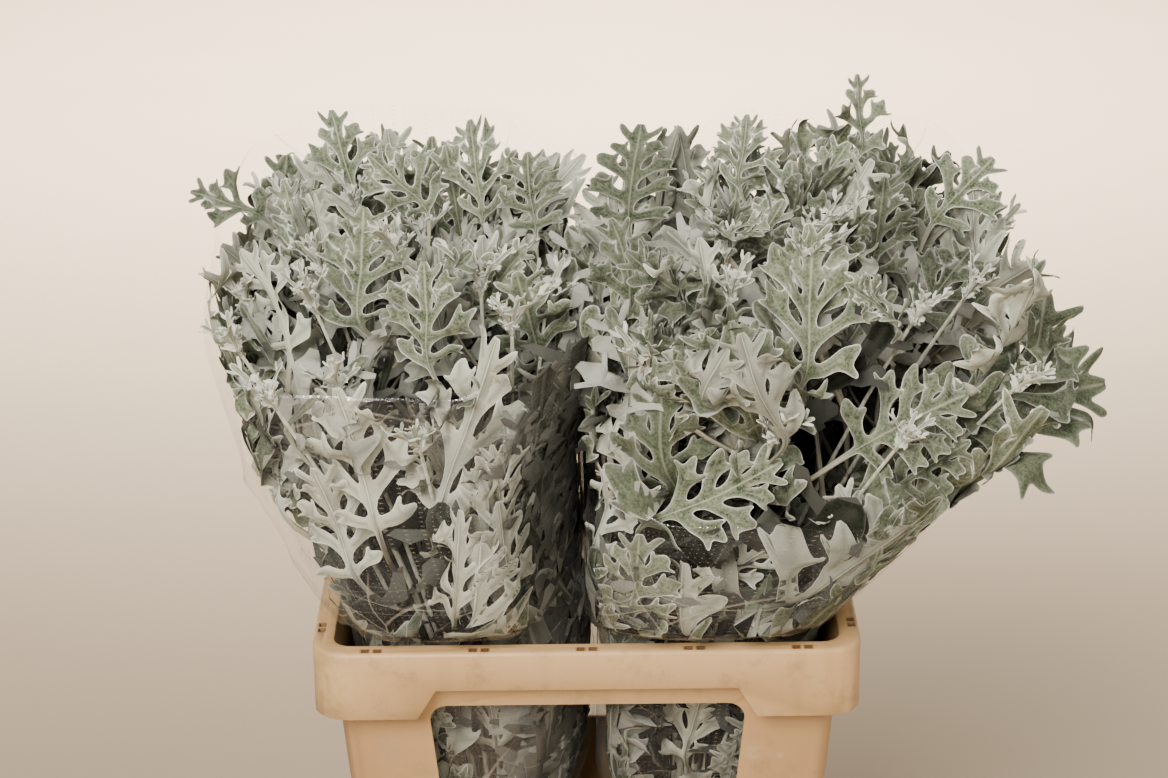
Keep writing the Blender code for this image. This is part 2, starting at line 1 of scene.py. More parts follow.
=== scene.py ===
"""Two film-sleeved bunches of cut dusty miller in a hooded plastic flower bucket, ready to render.

Metres, +Z up, the bucket's front towards -Y. Each section below is one piece or group of like pieces.
"""

import math

import bmesh
import bpy
import numpy as np
from mathutils import Matrix, Vector


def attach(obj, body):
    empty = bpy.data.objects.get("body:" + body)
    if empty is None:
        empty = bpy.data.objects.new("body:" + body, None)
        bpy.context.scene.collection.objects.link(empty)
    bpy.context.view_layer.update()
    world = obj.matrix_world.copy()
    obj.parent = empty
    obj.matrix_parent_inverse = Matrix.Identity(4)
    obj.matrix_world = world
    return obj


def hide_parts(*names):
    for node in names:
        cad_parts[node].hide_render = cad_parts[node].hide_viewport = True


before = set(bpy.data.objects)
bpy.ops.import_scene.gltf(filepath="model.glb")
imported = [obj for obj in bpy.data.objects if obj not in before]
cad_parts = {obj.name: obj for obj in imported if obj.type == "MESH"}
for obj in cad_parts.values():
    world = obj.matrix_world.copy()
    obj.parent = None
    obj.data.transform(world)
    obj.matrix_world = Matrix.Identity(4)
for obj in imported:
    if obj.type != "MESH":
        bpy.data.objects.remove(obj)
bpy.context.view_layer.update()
bpy.ops.object.select_all(action="DESELECT")

# Camera.
# A short telephoto lens two metres in front, looking a little down on the foliage, and rolled slightly
# as a hand-held camera is. The bucket's lower half is below the picture.
LENS_MM = 93.9
CAMERA_SPOT = (0.0, -2.133, 1.348)
CAMERA_DOWN = 21.08
CAMERA_ROLL = -0.6
bpy.ops.object.camera_add()
camera = bpy.context.object
camera.name = "camera"
camera.data.lens = LENS_MM
camera.matrix_world = (
    Matrix.Translation(CAMERA_SPOT)
    @ Matrix.Rotation(math.radians(90 - CAMERA_DOWN), 4, "X")
    @ Matrix.Rotation(math.radians(CAMERA_ROLL), 4, "Z")
)
bpy.context.scene.camera = camera


# Floor and light.
# Pale painted boards of a studio, smooth and matt, under one large window-like light from the front left,
# a weaker one from the right, one that brightens the floor behind and a small one over it.
def srgb(hex_colour):
    """The linear colour of an sRGB hex value."""
    parts = [int(hex_colour[i : i + 2], 16) / 255 for i in (1, 3, 5)]
    return (*(part / 12.92 if part <= 0.04045 else ((part + 0.055) / 1.055) ** 2.4 for part in parts), 1.0)


def new_material(name):
    """A new node material and its surface shader."""
    material = bpy.data.materials.new(name)
    material.use_nodes = True
    return material, material.node_tree.nodes["Principled BSDF"]


def add(material, kind, inputs, **settings):
    """Adds a node with its settings, and sets or links its inputs."""
    node = material.node_tree.nodes.new("ShaderNode" + kind) if isinstance(kind, str) else kind
    for name, value in settings.items():
        setattr(node, name, value)
    for name, value in inputs.items():
        if isinstance(value, bpy.types.NodeSocket):
            material.node_tree.links.new(value, node.inputs[name])
        else:
            node.inputs[name].default_value = value
    return node


# Emulsion paint, rolled on: matt, with clouds of slightly different tone 300 mm across.
paint, shader = new_material("emulsion paint")
place = add(paint, "TexCoord", {})
cloud = add(paint, "TexNoise", {"Vector": place.outputs["Object"], "Scale": 3.0, "Detail": 3.0})
tone = add(paint, "Mix", {0: cloud.outputs["Fac"], 6: srgb("#b3a086"), 7: srgb("#baa78e")}, data_type="RGBA")
add(paint, shader, {"Base Color": tone.outputs[2], "Roughness": 0.85})

bpy.ops.mesh.primitive_plane_add(size=36.0, location=(0.0, 0.0, 0.0))
floor = bpy.context.object
floor.name = "floor"
floor.data.materials.append(paint)

LIGHTS = (
    ("key light", (-1.1, -3.0, 2.7), (0.0, 0.0, 0.48), 1.9, 290.0, (1.0, 0.95, 0.89)),
    ("fill light", (2.4, -1.9, 1.8), (0.2, 0.2, 0.40), 2.4, 42.0, (1.0, 0.95, 0.89)),
    ("floor light", (0.0, 2.6, 2.3), (0.0, 4.9, 0.0), 2.2, 700.0, (1.0, 0.95, 0.88)),
    ("top light", (0.7, 0.5, 2.3), (0.25, 0.8, 0.0), 1.2, 17.0, (1.0, 0.96, 0.90)),
)
for name, spot, aim, size, power, colour in LIGHTS:
    bpy.ops.object.light_add(type="AREA", location=spot)
    light = bpy.context.object
    light.name = name
    light.data.size = size
    light.data.energy = power
    light.data.color = colour
    light.rotation_euler = (Vector(aim) - Vector(spot)).to_track_quat("-Z", "Y").to_euler()

world = bpy.data.worlds.new("studio")
bpy.context.scene.world = world
world.use_nodes = True
world.node_tree.nodes["Background"].inputs["Color"].default_value = (1.0, 0.95, 0.89, 1.0)
world.node_tree.nodes["Background"].inputs["Strength"].default_value = 0.30


# Flower bucket.
# A trade bucket injection-moulded in cream polypropylene, its rim turned over into a hood, with windows
# and drain slots. The skin is the CAD shape, its edges rounded as a mould leaves them.
BUCKET_EDGE = 0.0009
RIM_TOP = 0.380
RIM_HALF = (0.200, 0.150)
bpy.ops.object.select_all(action="DESELECT")
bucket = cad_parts["flower_bucket"].copy()
bucket.data = bucket.data.copy()
bucket.name = "moulded_bucket"
bucket.hide_render = False
bpy.context.scene.collection.objects.link(bucket)
bucket.select_set(True)
bpy.context.view_layer.objects.active = bucket
bpy.ops.object.mode_set(mode="EDIT")
bpy.ops.mesh.select_all(action="SELECT")
bpy.ops.mesh.remove_doubles(threshold=0.00002)
bpy.ops.mesh.dissolve_limited(angle_limit=math.radians(0.4))
bpy.ops.object.mode_set(mode="OBJECT")
rounding = bucket.modifiers.new("moulded edges", "BEVEL")
rounding.width = BUCKET_EDGE
rounding.segments = 2
rounding.limit_method = "ANGLE"
rounding.angle_limit = math.radians(50)
rounding.harden_normals = True
bpy.ops.object.modifier_apply(modifier="moulded edges")
bpy.ops.object.shade_smooth_by_angle(angle=math.radians(28))


def coats(material, tone, layers):
    """Lays colours over a tone, each up to its share as a value goes from a first limit to a second."""
    for value, first, second, share, colour in layers:
        cover = add(material, "MapRange", {"Value": value, 1: first, 2: second, 3: 0.0, 4: share})
        mixed = add(material, "Mix", {0: cover.outputs[0], 6: tone, 7: srgb(colour)}, data_type="RGBA")
        tone = mixed.outputs[2]
    return tone


# Stains: where each is, how wide, how strong and its colour, as buckets in daily use have.
STAINS = (
    ((-0.190, -0.150, 0.348), 0.016, 0.30, "#a98a50"),
    ((-0.052, -0.150, 0.351), 0.005, 0.45, "#8f6f42"),
    ((-0.146, -0.136, 0.292), 0.016, 0.30, "#8e8b74"),
    ((0.122, -0.134, 0.286), 0.009, 0.45, "#ead9bd"),
    ((0.142, -0.134, 0.284), 0.006, 0.40, "#ead9bd"),
    ((-0.003, -0.145, 0.380), 0.004, 0.55, "#6e4a2c"),
    ((-0.160, -0.139, 0.318), 0.0018, 0.60, "#b08b5e"),
    ((0.186, -0.150, 0.341), 0.007, 0.25, "#9a7d50"),
    ((-0.192, -0.148, 0.352), 0.030, 0.45, "#d8bd80"),
    ((0.100, -0.150, 0.358), 0.007, 0.40, "#856a48"),
    ((-0.030, -0.150, 0.352), 0.006, 0.35, "#8a7050"),
)
# Drain slots stand in pairs, and their spacing differs along the long and the short sides of the rim.
SLOT_STEPS = (("X", "Y", 0.078, RIM_HALF[1]), ("Y", "X", 0.104, RIM_HALF[0]))
SLOT_INSET = 0.0055
SLOT_APART = 0.0044
# Polypropylene from a mould: a soft waxy shine, slightly uneven, handled until it is dull in patches.
plastic, shader = new_material("polypropylene")
place = add(plastic, "TexCoord", {})
where = place.outputs["Object"]
patches = add(plastic, "TexNoise", {"Vector": where, "Scale": 9.0, "Detail": 4.0, "Roughness": 0.6})
stretched = add(plastic, "Mapping", {"Vector": where, "Scale": (70.0, 70.0, 6.0)})
drips = add(plastic, "TexNoise", {"Vector": stretched.outputs[0], "Scale": 1.0, "Detail": 3.0})
smudges = add(plastic, "TexNoise", {"Vector": where, "Scale": 34.0, "Detail": 6.0, "Roughness": 0.7})
ragged = add(plastic, "TexNoise", {"Vector": where, "Scale": 160.0, "Detail": 4.0})
depth = add(plastic, "SeparateXYZ", {0: where})
cream = add(
    plastic, "Mix", {0: patches.outputs["Fac"], 6: srgb("#bd9664"), 7: srgb("#caa675")}, data_type="RGBA"
)
tone = coats(plastic, cream.outputs[2], (
    (drips.outputs["Fac"], 0.52, 0.75, 0.35, "#a57d4e"),
    # Painted shade: the wall darkens from 338 mm down, fully at 322 mm and below, as shade under the hood.
    (depth.outputs["Z"], 0.338, 0.322, 0.75, "#a98459"),
    (smudges.outputs["Fac"], 0.53, 0.70, 0.55, "#8d744e"),
))
# Dark brown painted in and round the drain slots, on the rim top.
on_top = add(
    plastic, "MapRange", {"Value": depth.outputs["Z"], 1: RIM_TOP - 0.006, 2: RIM_TOP - 0.004, 3: 0.0, 4: 0.9}
)
for along, across, step, rim_half in SLOT_STEPS:
    turned = add(plastic, "Math", {0: depth.outputs[along], 1: 0.5 * step, 2: -0.5 * step}, operation="WRAP")
    beside = add(plastic, "Math", {0: turned.outputs[0]}, operation="ABSOLUTE")
    beside = add(plastic, "Math", {0: beside.outputs[0], 1: -SLOT_APART}, operation="ADD")
    beside = add(plastic, "Math", {0: beside.outputs[0]}, operation="ABSOLUTE")
    beside = add(plastic, "MapRange", {"Value": beside.outputs[0], 1: 0.0044, 2: 0.0024, 3: 0.0, 4: 1.0})
    outer = add(plastic, "Math", {0: depth.outputs[across]}, operation="ABSOLUTE")
    outer = add(
        plastic, "Math", {0: outer.outputs[0], 1: rim_half - SLOT_INSET, 2: 0.0030}, operation="COMPARE"
    )
    here = add(plastic, "Math", {0: beside.outputs[0], 1: outer.outputs[0]}, operation="MULTIPLY")
    here = add(plastic, "Math", {0: here.outputs[0], 1: on_top.outputs[0]}, operation="MULTIPLY")
    tone = coats(plastic, tone, ((here.outputs[0], 0.0, 1.0, 1.0, "#5b3d25"),))
for spot, radius, strength, colour in STAINS:
    away = add(plastic, "VectorMath", {0: where, 1: spot}, operation="DISTANCE")
    near = add(
        plastic, "MapRange", {"Value": away.outputs["Value"], 1: radius, 2: 0.2 * radius, 3: 0.0, 4: 1.0}
    )
    torn = add(plastic, "MapRange", {"Value": ragged.outputs["Fac"], 1: 0.35, 2: 0.62, 3: 0.0, 4: strength})
    held = add(plastic, "Math", {0: near.outputs[0], 1: torn.outputs[0]}, operation="MULTIPLY")
    tone = coats(plastic, tone, ((held.outputs[0], 0.0, 1.0, 1.0, colour),))
gloss = add(plastic, "MapRange", {"Value": patches.outputs["Fac"], 1: 0.3, 2: 0.7, 3: 0.36, 4: 0.56})
grain = add(plastic, "TexNoise", {"Vector": where, "Scale": 420.0, "Detail": 2.0})
waves = add(plastic, "TexNoise", {"Vector": where, "Scale": 22.0, "Detail": 1.0})
height = add(
    plastic, "Math", {0: waves.outputs["Fac"], 1: 0.6, 2: grain.outputs["Fac"]}, operation="MULTIPLY_ADD"
)
bump = add(plastic, "Bump", {"Height": height.outputs[0], "Strength": 0.25, "Distance": 0.0006})
add(plastic, shader, {"Base Color": tone, "Roughness": gloss.outputs[0]})
add(plastic, shader, {"Normal": bump.outputs[0], "IOR": 1.49})
bucket.data.materials.clear()
bucket.data.materials.append(plastic)
bucket_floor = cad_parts["bucket_floor"]
bucket_floor.data.materials.clear()
bucket_floor.data.materials.append(plastic)
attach(bucket, "root")
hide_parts("flower_bucket")


# Sleeve form.
# Each bunch stands in a tapered sleeve of clear film, drawn in round the tie and wide at the mouth.
# Its cross-sections come first, because the leaves press against it from inside.
SQUARENESS = 3.5
# Height, lowest x, highest x, lowest y and highest y of each sleeve's cross-sections.
SECTIONS = {
    "left": (
        (0.003, -0.128, -0.028, -0.068, 0.068),
        (0.120, -0.130, -0.030, -0.062, 0.062),
        (0.250, -0.162, -0.004, -0.098, 0.098),
        (0.360, -0.179, -0.004, -0.128, 0.128),
        (0.380, -0.181, -0.004, -0.131, 0.129),
        (0.386, -0.184, -0.005, -0.141, 0.130),
        (0.396, -0.192, -0.008, -0.165, 0.132),
        (0.425, -0.208, -0.010, -0.180, 0.136),
        (0.500, -0.250, -0.010, -0.195, 0.152),
        (0.600, -0.276, 0.003, -0.203, 0.160),
        (0.700, -0.285, 0.008, -0.203, 0.166),
    ),
    "right": (
        (0.003, 0.028, 0.128, -0.068, 0.068),
        (0.120, 0.030, 0.130, -0.062, 0.062),
        (0.250, 0.004, 0.162, -0.098, 0.098),
        (0.360, 0.004, 0.179, -0.128, 0.128),
        (0.380, 0.003, 0.181, -0.131, 0.129),
        (0.386, 0.002, 0.184, -0.141, 0.130),
        (0.396, -0.001, 0.194, -0.170, 0.132),
        (0.425, -0.003, 0.218, -0.186, 0.136),
        (0.500, -0.002, 0.292, -0.205, 0.152),
        (0.560, 0.002, 0.338, -0.210, 0.160),
        (0.700, 0.012, 0.350, -0.203, 0.168),
    ),
}
# Height of each mouth at the front and at the back, and where round the sleeve it starts to rise.
MOUTHS = {"left": (0.600, 0.700, -0.60), "right": (0.500, 0.690, -0.35)}


def section_at(side, height):
    """Middle and half sizes of a sleeve's cross-section at one or many heights."""
    table = np.array(SECTIONS[side])
    low_x, high_x, low_y, high_y = (np.interp(height, table[:, 0], table[:, k]) for k in (1, 2, 3, 4))
    return (low_x + high_x) / 2, (low_y + high_y) / 2, (high_x - low_x) / 2, (high_y - low_y) / 2


def mouth_at(side, sine):
    """Height of a sleeve's mouth, sine being -1 at the front and 1 at the back."""
    front, back, rise_from = MOUTHS[side]
    along = np.clip((sine - rise_from) / (1.0 - rise_from), 0.0, 1.0)
    rise = (back - front) * along * along * (3 - 2 * along)
    return front + rise - 0.03 * np.clip(sine, 0.0, 1.0) * (1 - sine * sine)


def nestle(points):
    """Where two bunches meet they give way to each other, so the cleft between them winds front to back."""
    sway = np.sin(points[..., 1] / 0.036 + 6.0 * points[..., 2]) * np.exp(-((points[..., 0] / 0.07) ** 2))
    above = np.clip((points[..., 2] - 0.16) / 0.08, 0.0, 1.0)
    moved = points.copy()
    moved[..., 0] += 0.014 * sway * above
    return moved


def press_in(side, points, gap):
    """Bends points near or beyond a sleeve's film back inside it; over the mouth they may lean out."""
    middle_x, middle_y, half_x, half_y = section_at(side, points[:, 2])
    across = (points[:, 0] - middle_x) / (half_x - gap)
    deep = (points[:, 1] - middle_y) / (half_y - gap)
    spread = (np.abs(across) ** SQUARENESS + np.abs(deep) ** SQUARENESS) ** (1 / SQUARENESS) + 1e-9
    sine = np.sign(deep) * np.abs(deep / spread) ** (SQUARENESS / 2)
    over = np.clip((points[:, 2] - mouth_at(side, sine) + 0.01) / 0.06, 0.0, 1.0)
    limit = 1.0 + 0.18 * over
    soft = 0.96 * limit
    room = limit - soft
    held = np.where(spread > soft, soft + room * (1 - np.exp(-np.maximum(spread - soft, 0.0) / room)), spread)
    shrink = held / spread
    pressed = points.copy()
    pressed[:, 0] = middle_x + (points[:, 0] - middle_x) * shrink
    pressed[:, 1] = middle_y + (points[:, 1] - middle_y) * shrink
    return pressed


# Leaf shapes.
# Leaves of dusty miller are thick and felted, cut nearly to the midrib into lobes that end in two or three
# blunt teeth. Six mature shapes and a young one are modelled flat, a unit long, and copied from then on.
MARGIN_GAP = 0.0062  # between leaves and film
LEAF_THICK = 0.0011


def pick_edges(*middles):
    """Selects the edges whose middles lie nearest the given places."""
    cage = bmesh.from_edit_mesh(bpy.context.object.data)
    for part in (*cage.verts, *cage.edges, *cage.faces):
        part.select = False
    for middle in middles:
        nearest = min(cage.edges, key=lambda edge: (edge.verts[0].co + edge.verts[1].co - 2 * middle).length)
        nearest.select_set(True)
    bmesh.update_edit_mesh(bpy.context.object.data)


def draw_out(edge, heading, reach, width):
    """Extrudes an edge along a heading, in degrees from the leaf's length, and gives its new end a width."""
    left, right = edge
    across = right - left
    middle = (left + right) / 2
    faced = math.atan2(-across.y, across.x)
    turn = math.radians(heading)
    way = Vector((math.sin(turn), math.cos(turn), 0.0))
    end = middle + reach * way
    pick_edges(middle)
    bpy.ops.mesh.extrude_region_move(TRANSFORM_OT_translate={"value": reach * way})
    bpy.ops.transform.resize(value=(width / across.length,) * 3, center_override=end)
    bpy.ops.transform.rotate(value=turn - faced, orient_axis="Z", center_override=end)
    half = 0.5 * width * Vector((math.cos(turn), -math.sin(turn), 0.0))
    return end - half, end + half


def draw_lobe(edge, heading, bend, reach, neck, spread, teeth):
    """One lobe: a strap that widens, then its front tooth and one or two side teeth."""
    for share, width in ((0.26, neck), (0.26, neck), (0.20, spread)):
        foot = edge
        heading += bend / 3
        edge = draw_out(edge, heading, share * reach, width)
    tooth = draw_out(edge, heading, 0.15 * reach, 0.62 * spread)
    draw_out(tooth, heading, 0.17 * reach, 0.34 * spread)
    if teeth > 1:
        draw_out((edge[1], foot[1]), heading + 46, 0.29 * reach, 0.036)
    if teeth > 2:
        draw_out((foot[0], edge[0]), heading - 44, 0.27 * reach, 0.034)


def draw_leaf(name, pairs, reach, lean, neck, spread, seed):
    """A flat leaf with its petiole below y = 0 and its tip near y = 1, as a cage of four-sided faces."""
    chance = np.random.default_rng(seed)

    def vary(size):
        return 1 + size * chance.uniform(-1, 1)

    bpy.ops.object.select_all(action="DESELECT")
    bpy.ops.mesh.primitive_grid_add(x_subdivisions=2, y_subdivisions=1, size=1.0)
    leaf = bpy.context.object
    leaf.name = name
    bpy.ops.object.mode_set(mode="EDIT")
    half, at = 0.014, -0.18
    bpy.ops.transform.resize(value=(2 * half, 0.12, 1.0))
    bpy.ops.transform.translate(value=(0.0, at - 0.06, 0.0))
    step = 0.80 / pairs
    stations = [(-0.09, 0.014), (-0.01, 0.018)]
    for i in range(pairs):
        wing = 0.022 + 0.022 * (i / max(pairs - 1, 1))
        stations += [(0.03 + i * step, wing), (0.03 + (i + 0.42) * step, 1.1 * wing)]
    stations += [(0.83, 0.046), (0.91, 0.052)]
    rows = [(at, half)]
    for place, wide in stations:
        pick_edges(Vector((-half / 2, at, 0.0)), Vector((half / 2, at, 0.0)))
        bpy.ops.mesh.extrude_region_move(TRANSFORM_OT_translate={"value": (0.0, place - at, 0.0)})
        bpy.ops.transform.resize(value=(wide / half, 1.0, 1.0), center_override=(0.0, place, 0.0))
        at, half = place, wide
        rows.append((at, half))
    for i in range(pairs + 1):
        share = i / max(pairs - 1, 1)
        (low, low_half), (high, high_half) = rows[3 + 2 * i : 5 + 2 * i]
        for side in (-1, 1):
            ends = Vector((side * low_half, low, 0.0)), Vector((side * high_half, high, 0.0))
            edge = ends if side < 0 else ends[::-1]
            if i == pairs:
                edge = draw_out(edge, side * 46 * vary(0.15), 0.085, 0.062)
                draw_out(edge, side * 30 * vary(0.3), 0.080, 0.032)
                continue
            size = reach * math.sin(math.pi * (0.24 + 0.56 * share)) * vary(0.16)
            turn = side * (lean[0] + (lean[1] - lean[0]) * share) * vary(0.12)
            teeth = 2 + int(share > 0.2 and chance.random() < 0.75)
            draw_lobe(edge, turn, -side * 16 * vary(0.9), size, neck * vary(0.15), spread * vary(0.15), teeth)
    for reach_on, narrow in ((0.055, 0.85), (0.070, 0.45)):
        pick_edges(Vector((-half / 2, at, 0.0)), Vector((half / 2, at, 0.0)))
        bpy.ops.mesh.extrude_region_move(TRANSFORM_OT_translate={"value": (0.0, reach_on, 0.0)})
        at, half = at + reach_on, half * narrow
        bpy.ops.transform.resize(value=(narrow, 1.0, 1.0), center_override=(0.0, at, 0.0))
    bpy.ops.object.mode_set(mode="OBJECT")
    return leaf


def round_off(leaf):
    """Rounds a leaf's outline with one level of subdivision."""
    bpy.context.view_layer.objects.active = leaf
    rounded = leaf.modifiers.new("rounding", "SUBSURF")
    rounded.levels = rounded.render_levels = 1
    bpy.ops.object.modifier_apply(modifier="rounding")


def read_shape(leaf):
    """A leaf's flat points, faces, distance of each point from the margin, and how near it is to a vein."""
    flat = np.array([point.co for point in leaf.data.vertices])[:, :2]
    quads = np.array([list(face.vertices) for face in leaf.data.polygons])
    corners = flat[quads]
    turned = np.roll(corners, -1, axis=1)
    area = (corners[..., 0] * turned[..., 1] - corners[..., 1] * turned[..., 0]).sum(1)
    quads[area < 0] = quads[area < 0][:, ::-1]
    ends = np.sort(np.stack([quads, np.roll(quads, -1, axis=1)], axis=-1).reshape(-1, 2), axis=1)
    _, first, uses = np.unique(ends, axis=0, return_index=True, return_counts=True)
    outline = np.stack([quads, np.roll(quads, -1, axis=1)], axis=-1).reshape(-1, 2)[first[uses == 1]]
    start, along = flat[outline[:, 0]], flat[outline[:, 1]] - flat[outline[:, 0]]
    apart = flat[:, None] - start[None]
    share = np.clip((apart * along).sum(2) / (along * along).sum(1), 0.0, 1.0)
    rim = np.sqrt((((apart - share[..., None] * along) ** 2).sum(2)).min(1))
    margin = np.zeros(len(flat), bool)
    margin[outline.ravel()] = True
    vein = np.array([point.value for point in leaf.data.attributes["vein"].data])
    return {"flat": flat, "quads": quads, "rim": rim, "margin": margin, "vein": vein, "outline": outline}


def mark_veins(leaf, wing):
    """Marks the midrib, and more weakly the middle of each lobe, as vein."""
    shape = leaf.data.attributes.new("vein", "FLOAT", "POINT")
    counts = {}
    for face in leaf.data.polygons:
        for key in face.edge_keys:
            counts[key] = counts.get(key, 0) + 1
    outline = {point for key, count in counts.items() if count == 1 for point in key}
    values = []
    for point in leaf.data.vertices:
        inside = point.index not in outline
        on_rib = abs(point.co.x) < 0.0005
        values.append(0.0 if not inside else 1.0 if on_rib else 0.62 if abs(point.co.x) > wing else 0.0)
    shape.data.foreach_set("value", values)


# Name, pairs of lobes, their reach, their lean at the foot and at the tip, their narrow and wide widths.
SHAPES = (
    ("broad", 4, 0.36, (70, 42), 0.082, 0.116, 1),
    ("wide", 4, 0.42, (66, 40), 0.070, 0.100, 2),
    ("open", 3, 0.42, (62, 38), 0.088, 0.130, 3),
    ("short", 3, 0.35, (58, 36), 0.096, 0.140, 4),
    ("feathered", 5, 0.30, (68, 40), 0.058, 0.082, 5),
    ("square", 4, 0.32, (76, 44), 0.078, 0.112, 6),
    ("young", 2, 0.26, (50, 34), 0.095, 0.125, 7),
)
shapes = {}
for name, *form in SHAPES:
    leaf = draw_leaf("leaf_" + name, *form)
    mark_veins(leaf, 0.048)
    shapes[name, 0] = read_shape(leaf)
    leaf.data.attributes.remove(leaf.data.attributes["vein"])
    round_off(leaf)
    mark_veins(leaf, 0.048)
    shapes[name, 1] = read_shape(leaf)
    round_off(leaf)
    shapes[name, 2] = read_shape(leaf)
    bpy.data.objects.remove(leaf)
MATURE = [name for name, *rest in SHAPES[:-1]]


def smooth_line(points, count):
    """Points evenly spread in parameter on the smooth curve through the given ones."""
    line = np.array(points, float)
    padded = np.vstack([2 * line[0] - line[1], line, 2 * line[-1] - line[-2]])
    place = np.linspace(0.0, len(line) - 1 - 1e-9, count)
    i = place.astype(int)
    t = (place - i)[:, None]
    p0, p1, p2, p3 = (padded[i + k] for k in range(4))
    return 0.5 * (
        2 * p1 + (p2 - p0) * t + (2 * p0 - 5 * p1 + 4 * p2 - p3) * t**2 + (3 * p1 - p0 - 3 * p2 + p3) * t**3
    )


def unit(vectors):
    """Vectors at length one."""
    return vectors / np.maximum(np.linalg.norm(vectors, axis=-1, keepdims=True), 1e-9)


def grow_leaf(
    shape, spine, foot_at, facing, breadth, chance, side=None, fold=0.25, thick=1.0, calm=1.0, shade=0.0
):
    """One leaf along a spine: its closed skin's points and faces, and what the felt's colour reads."""
    flat, rim, vein, margin = shape["flat"], shape["rim"], shape["vein"], shape["margin"]
    line = smooth_line(spine, 60)
    if side:
        line[8:] = press_in(side, line[8:], 1.3 * MARGIN_GAP)
    steps = np.linalg.norm(np.diff(line, axis=0), axis=1)
    along = np.interp(flat[:, 1], (-0.30, 0.0, 1.02), (0.0, foot_at, 1.0)) * 59
    i = np.clip(along.astype(int), 0, 58)
    t = (along - i)[:, None]
    ways = unit(np.gradient(line, axis=0))
    ahead = unit(ways[i] * (1 - t) + ways[i + 1] * t)
    spot = line[i] * (1 - t) + line[i + 1] * t
    across = unit(np.cross(ahead, facing))
    up = np.cross(across, ahead)
    blade = steps[int(59 * foot_at) :].sum()
    scale = breadth * blade
    reach = np.abs(flat[:, 0]) * scale
    sign = np.sign(flat[:, 0])
    lift = fold * chance.uniform(0.7, 1.3)
    bend = chance.uniform(-9.0, 9.0) * calm
    phases = chance.uniform(0, 2 * math.pi, 6)
    ruffle = calm * blade * (
        0.026 * np.sin(9.0 * flat[:, 1] + phases[0] + sign)
        + 0.022 * np.sin(17.0 * flat[:, 1] + phases[1] - 1.3 * sign)
        + 0.018 * np.sin(26.0 * flat[:, 0] + 11.0 * flat[:, 1] + phases[2])
    ) * np.minimum(np.abs(flat[:, 0]) / 0.10, 2.2)
    twist = chance.uniform(-0.35, 0.35) * calm * np.clip(flat[:, 1], 0, 1)
    turn = lift + bend * reach
    bend = bend if abs(bend) > 1e-3 else 1e-3
    out = sign * (np.sin(lift + bend * reach) - math.sin(lift)) / bend
    rise = (math.cos(lift) - np.cos(lift + bend * reach)) / bend + ruffle
    rib = np.where(np.abs(flat[:, 0]) < 0.004, 1.0, 0.35) * vein
    petiole = np.clip(-flat[:, 1] / 0.04, 0.0, 1.0)
    upper = thick * LEAF_THICK * (0.5 - 0.15 * rib * (1 - petiole) + 0.6 * petiole)
    lower = -thick * LEAF_THICK * (0.5 + rib * (1.1 - 0.7 * np.clip(flat[:, 1], 0, 1)) + 0.9 * petiole)
    skins = []
    coarse = len(shape["quads"]) < 130
    for offset in (upper, lower):
        offset = 0.7 * offset if coarse else np.where(margin, 0.0, offset)
        x = out - sign * np.sin(turn) * offset
        z = rise + np.cos(turn) * offset
        x, z = x * np.cos(twist) - z * np.sin(twist), x * np.sin(twist) + z * np.cos(twist)
        skins.append(spot + across * x[:, None] + up * z[:, None])
    inner = np.arange(len(flat)) if coarse else np.flatnonzero(~margin)
    other = np.arange(len(flat))
    other[inner] = len(flat) + np.arange(len(inner))
    points = np.vstack([skins[0], skins[1][inner]])
    if side:
        pressed = press_in(side, points, MARGIN_GAP)
        points = np.where(np.concatenate([along, along[inner]])[:, None] > 8, pressed, points)
    quads = [shape["quads"], other[shape["quads"]][:, ::-1]]
    under = np.repeat([0.0, 1.0], len(shape["quads"]))
    if coarse:
        start, end = shape["outline"].T
        quads.append(np.column_stack([end, start, other[start], other[end]]))
        under = np.concatenate([under, np.zeros(len(start))])
    both = np.concatenate([np.arange(len(flat)), inner])
    return {
        "points": points,
        "quads": np.vstack(quads),
        "under": under,
        "rim": 1000 * scale * rim[both],
        "vein": vein[both],
        "tint": np.full(len(points), chance.random()),
        "stalk": petiole[both],
        "shade": np.full(len(points), shade),
    }


FELT_KEYS = ("rim", "vein", "tint", "stalk", "shade", "under")


def join_leaves(name, leaves, material):
    """One object of several leaves, with the attributes that the felt reads."""
    start = np.cumsum([0] + [len(leaf["points"]) for leaf in leaves])
    points = nestle(np.vstack([leaf["points"] for leaf in leaves]))
    quads = np.vstack([leaf["quads"] + first for leaf, first in zip(leaves, start)])
    mesh = bpy.data.meshes.new(name)
    mesh.vertices.add(len(points))
    mesh.vertices.foreach_set("co", points.ravel())
    mesh.loops.add(quads.size)
    mesh.loops.foreach_set("vertex_index", quads.ravel())
    mesh.polygons.add(len(quads))
    mesh.polygons.foreach_set("loop_start", np.arange(0, quads.size, 4))
    for key in FELT_KEYS:
        values = np.concatenate([leaf[key] for leaf in leaves])
        domain = "FACE" if key == "under" else "POINT"
        mesh.attributes.new(key, "FLOAT", domain).data.foreach_set("value", values)
    mesh.update(calc_edges=True)
    mesh.shade_smooth()
    mesh.set_sharp_from_angle(angle=math.radians(75))
    mesh.materials.append(material)
    made = bpy.data.objects.new(name, mesh)
    bpy.context.scene.collection.objects.link(made)
    return made


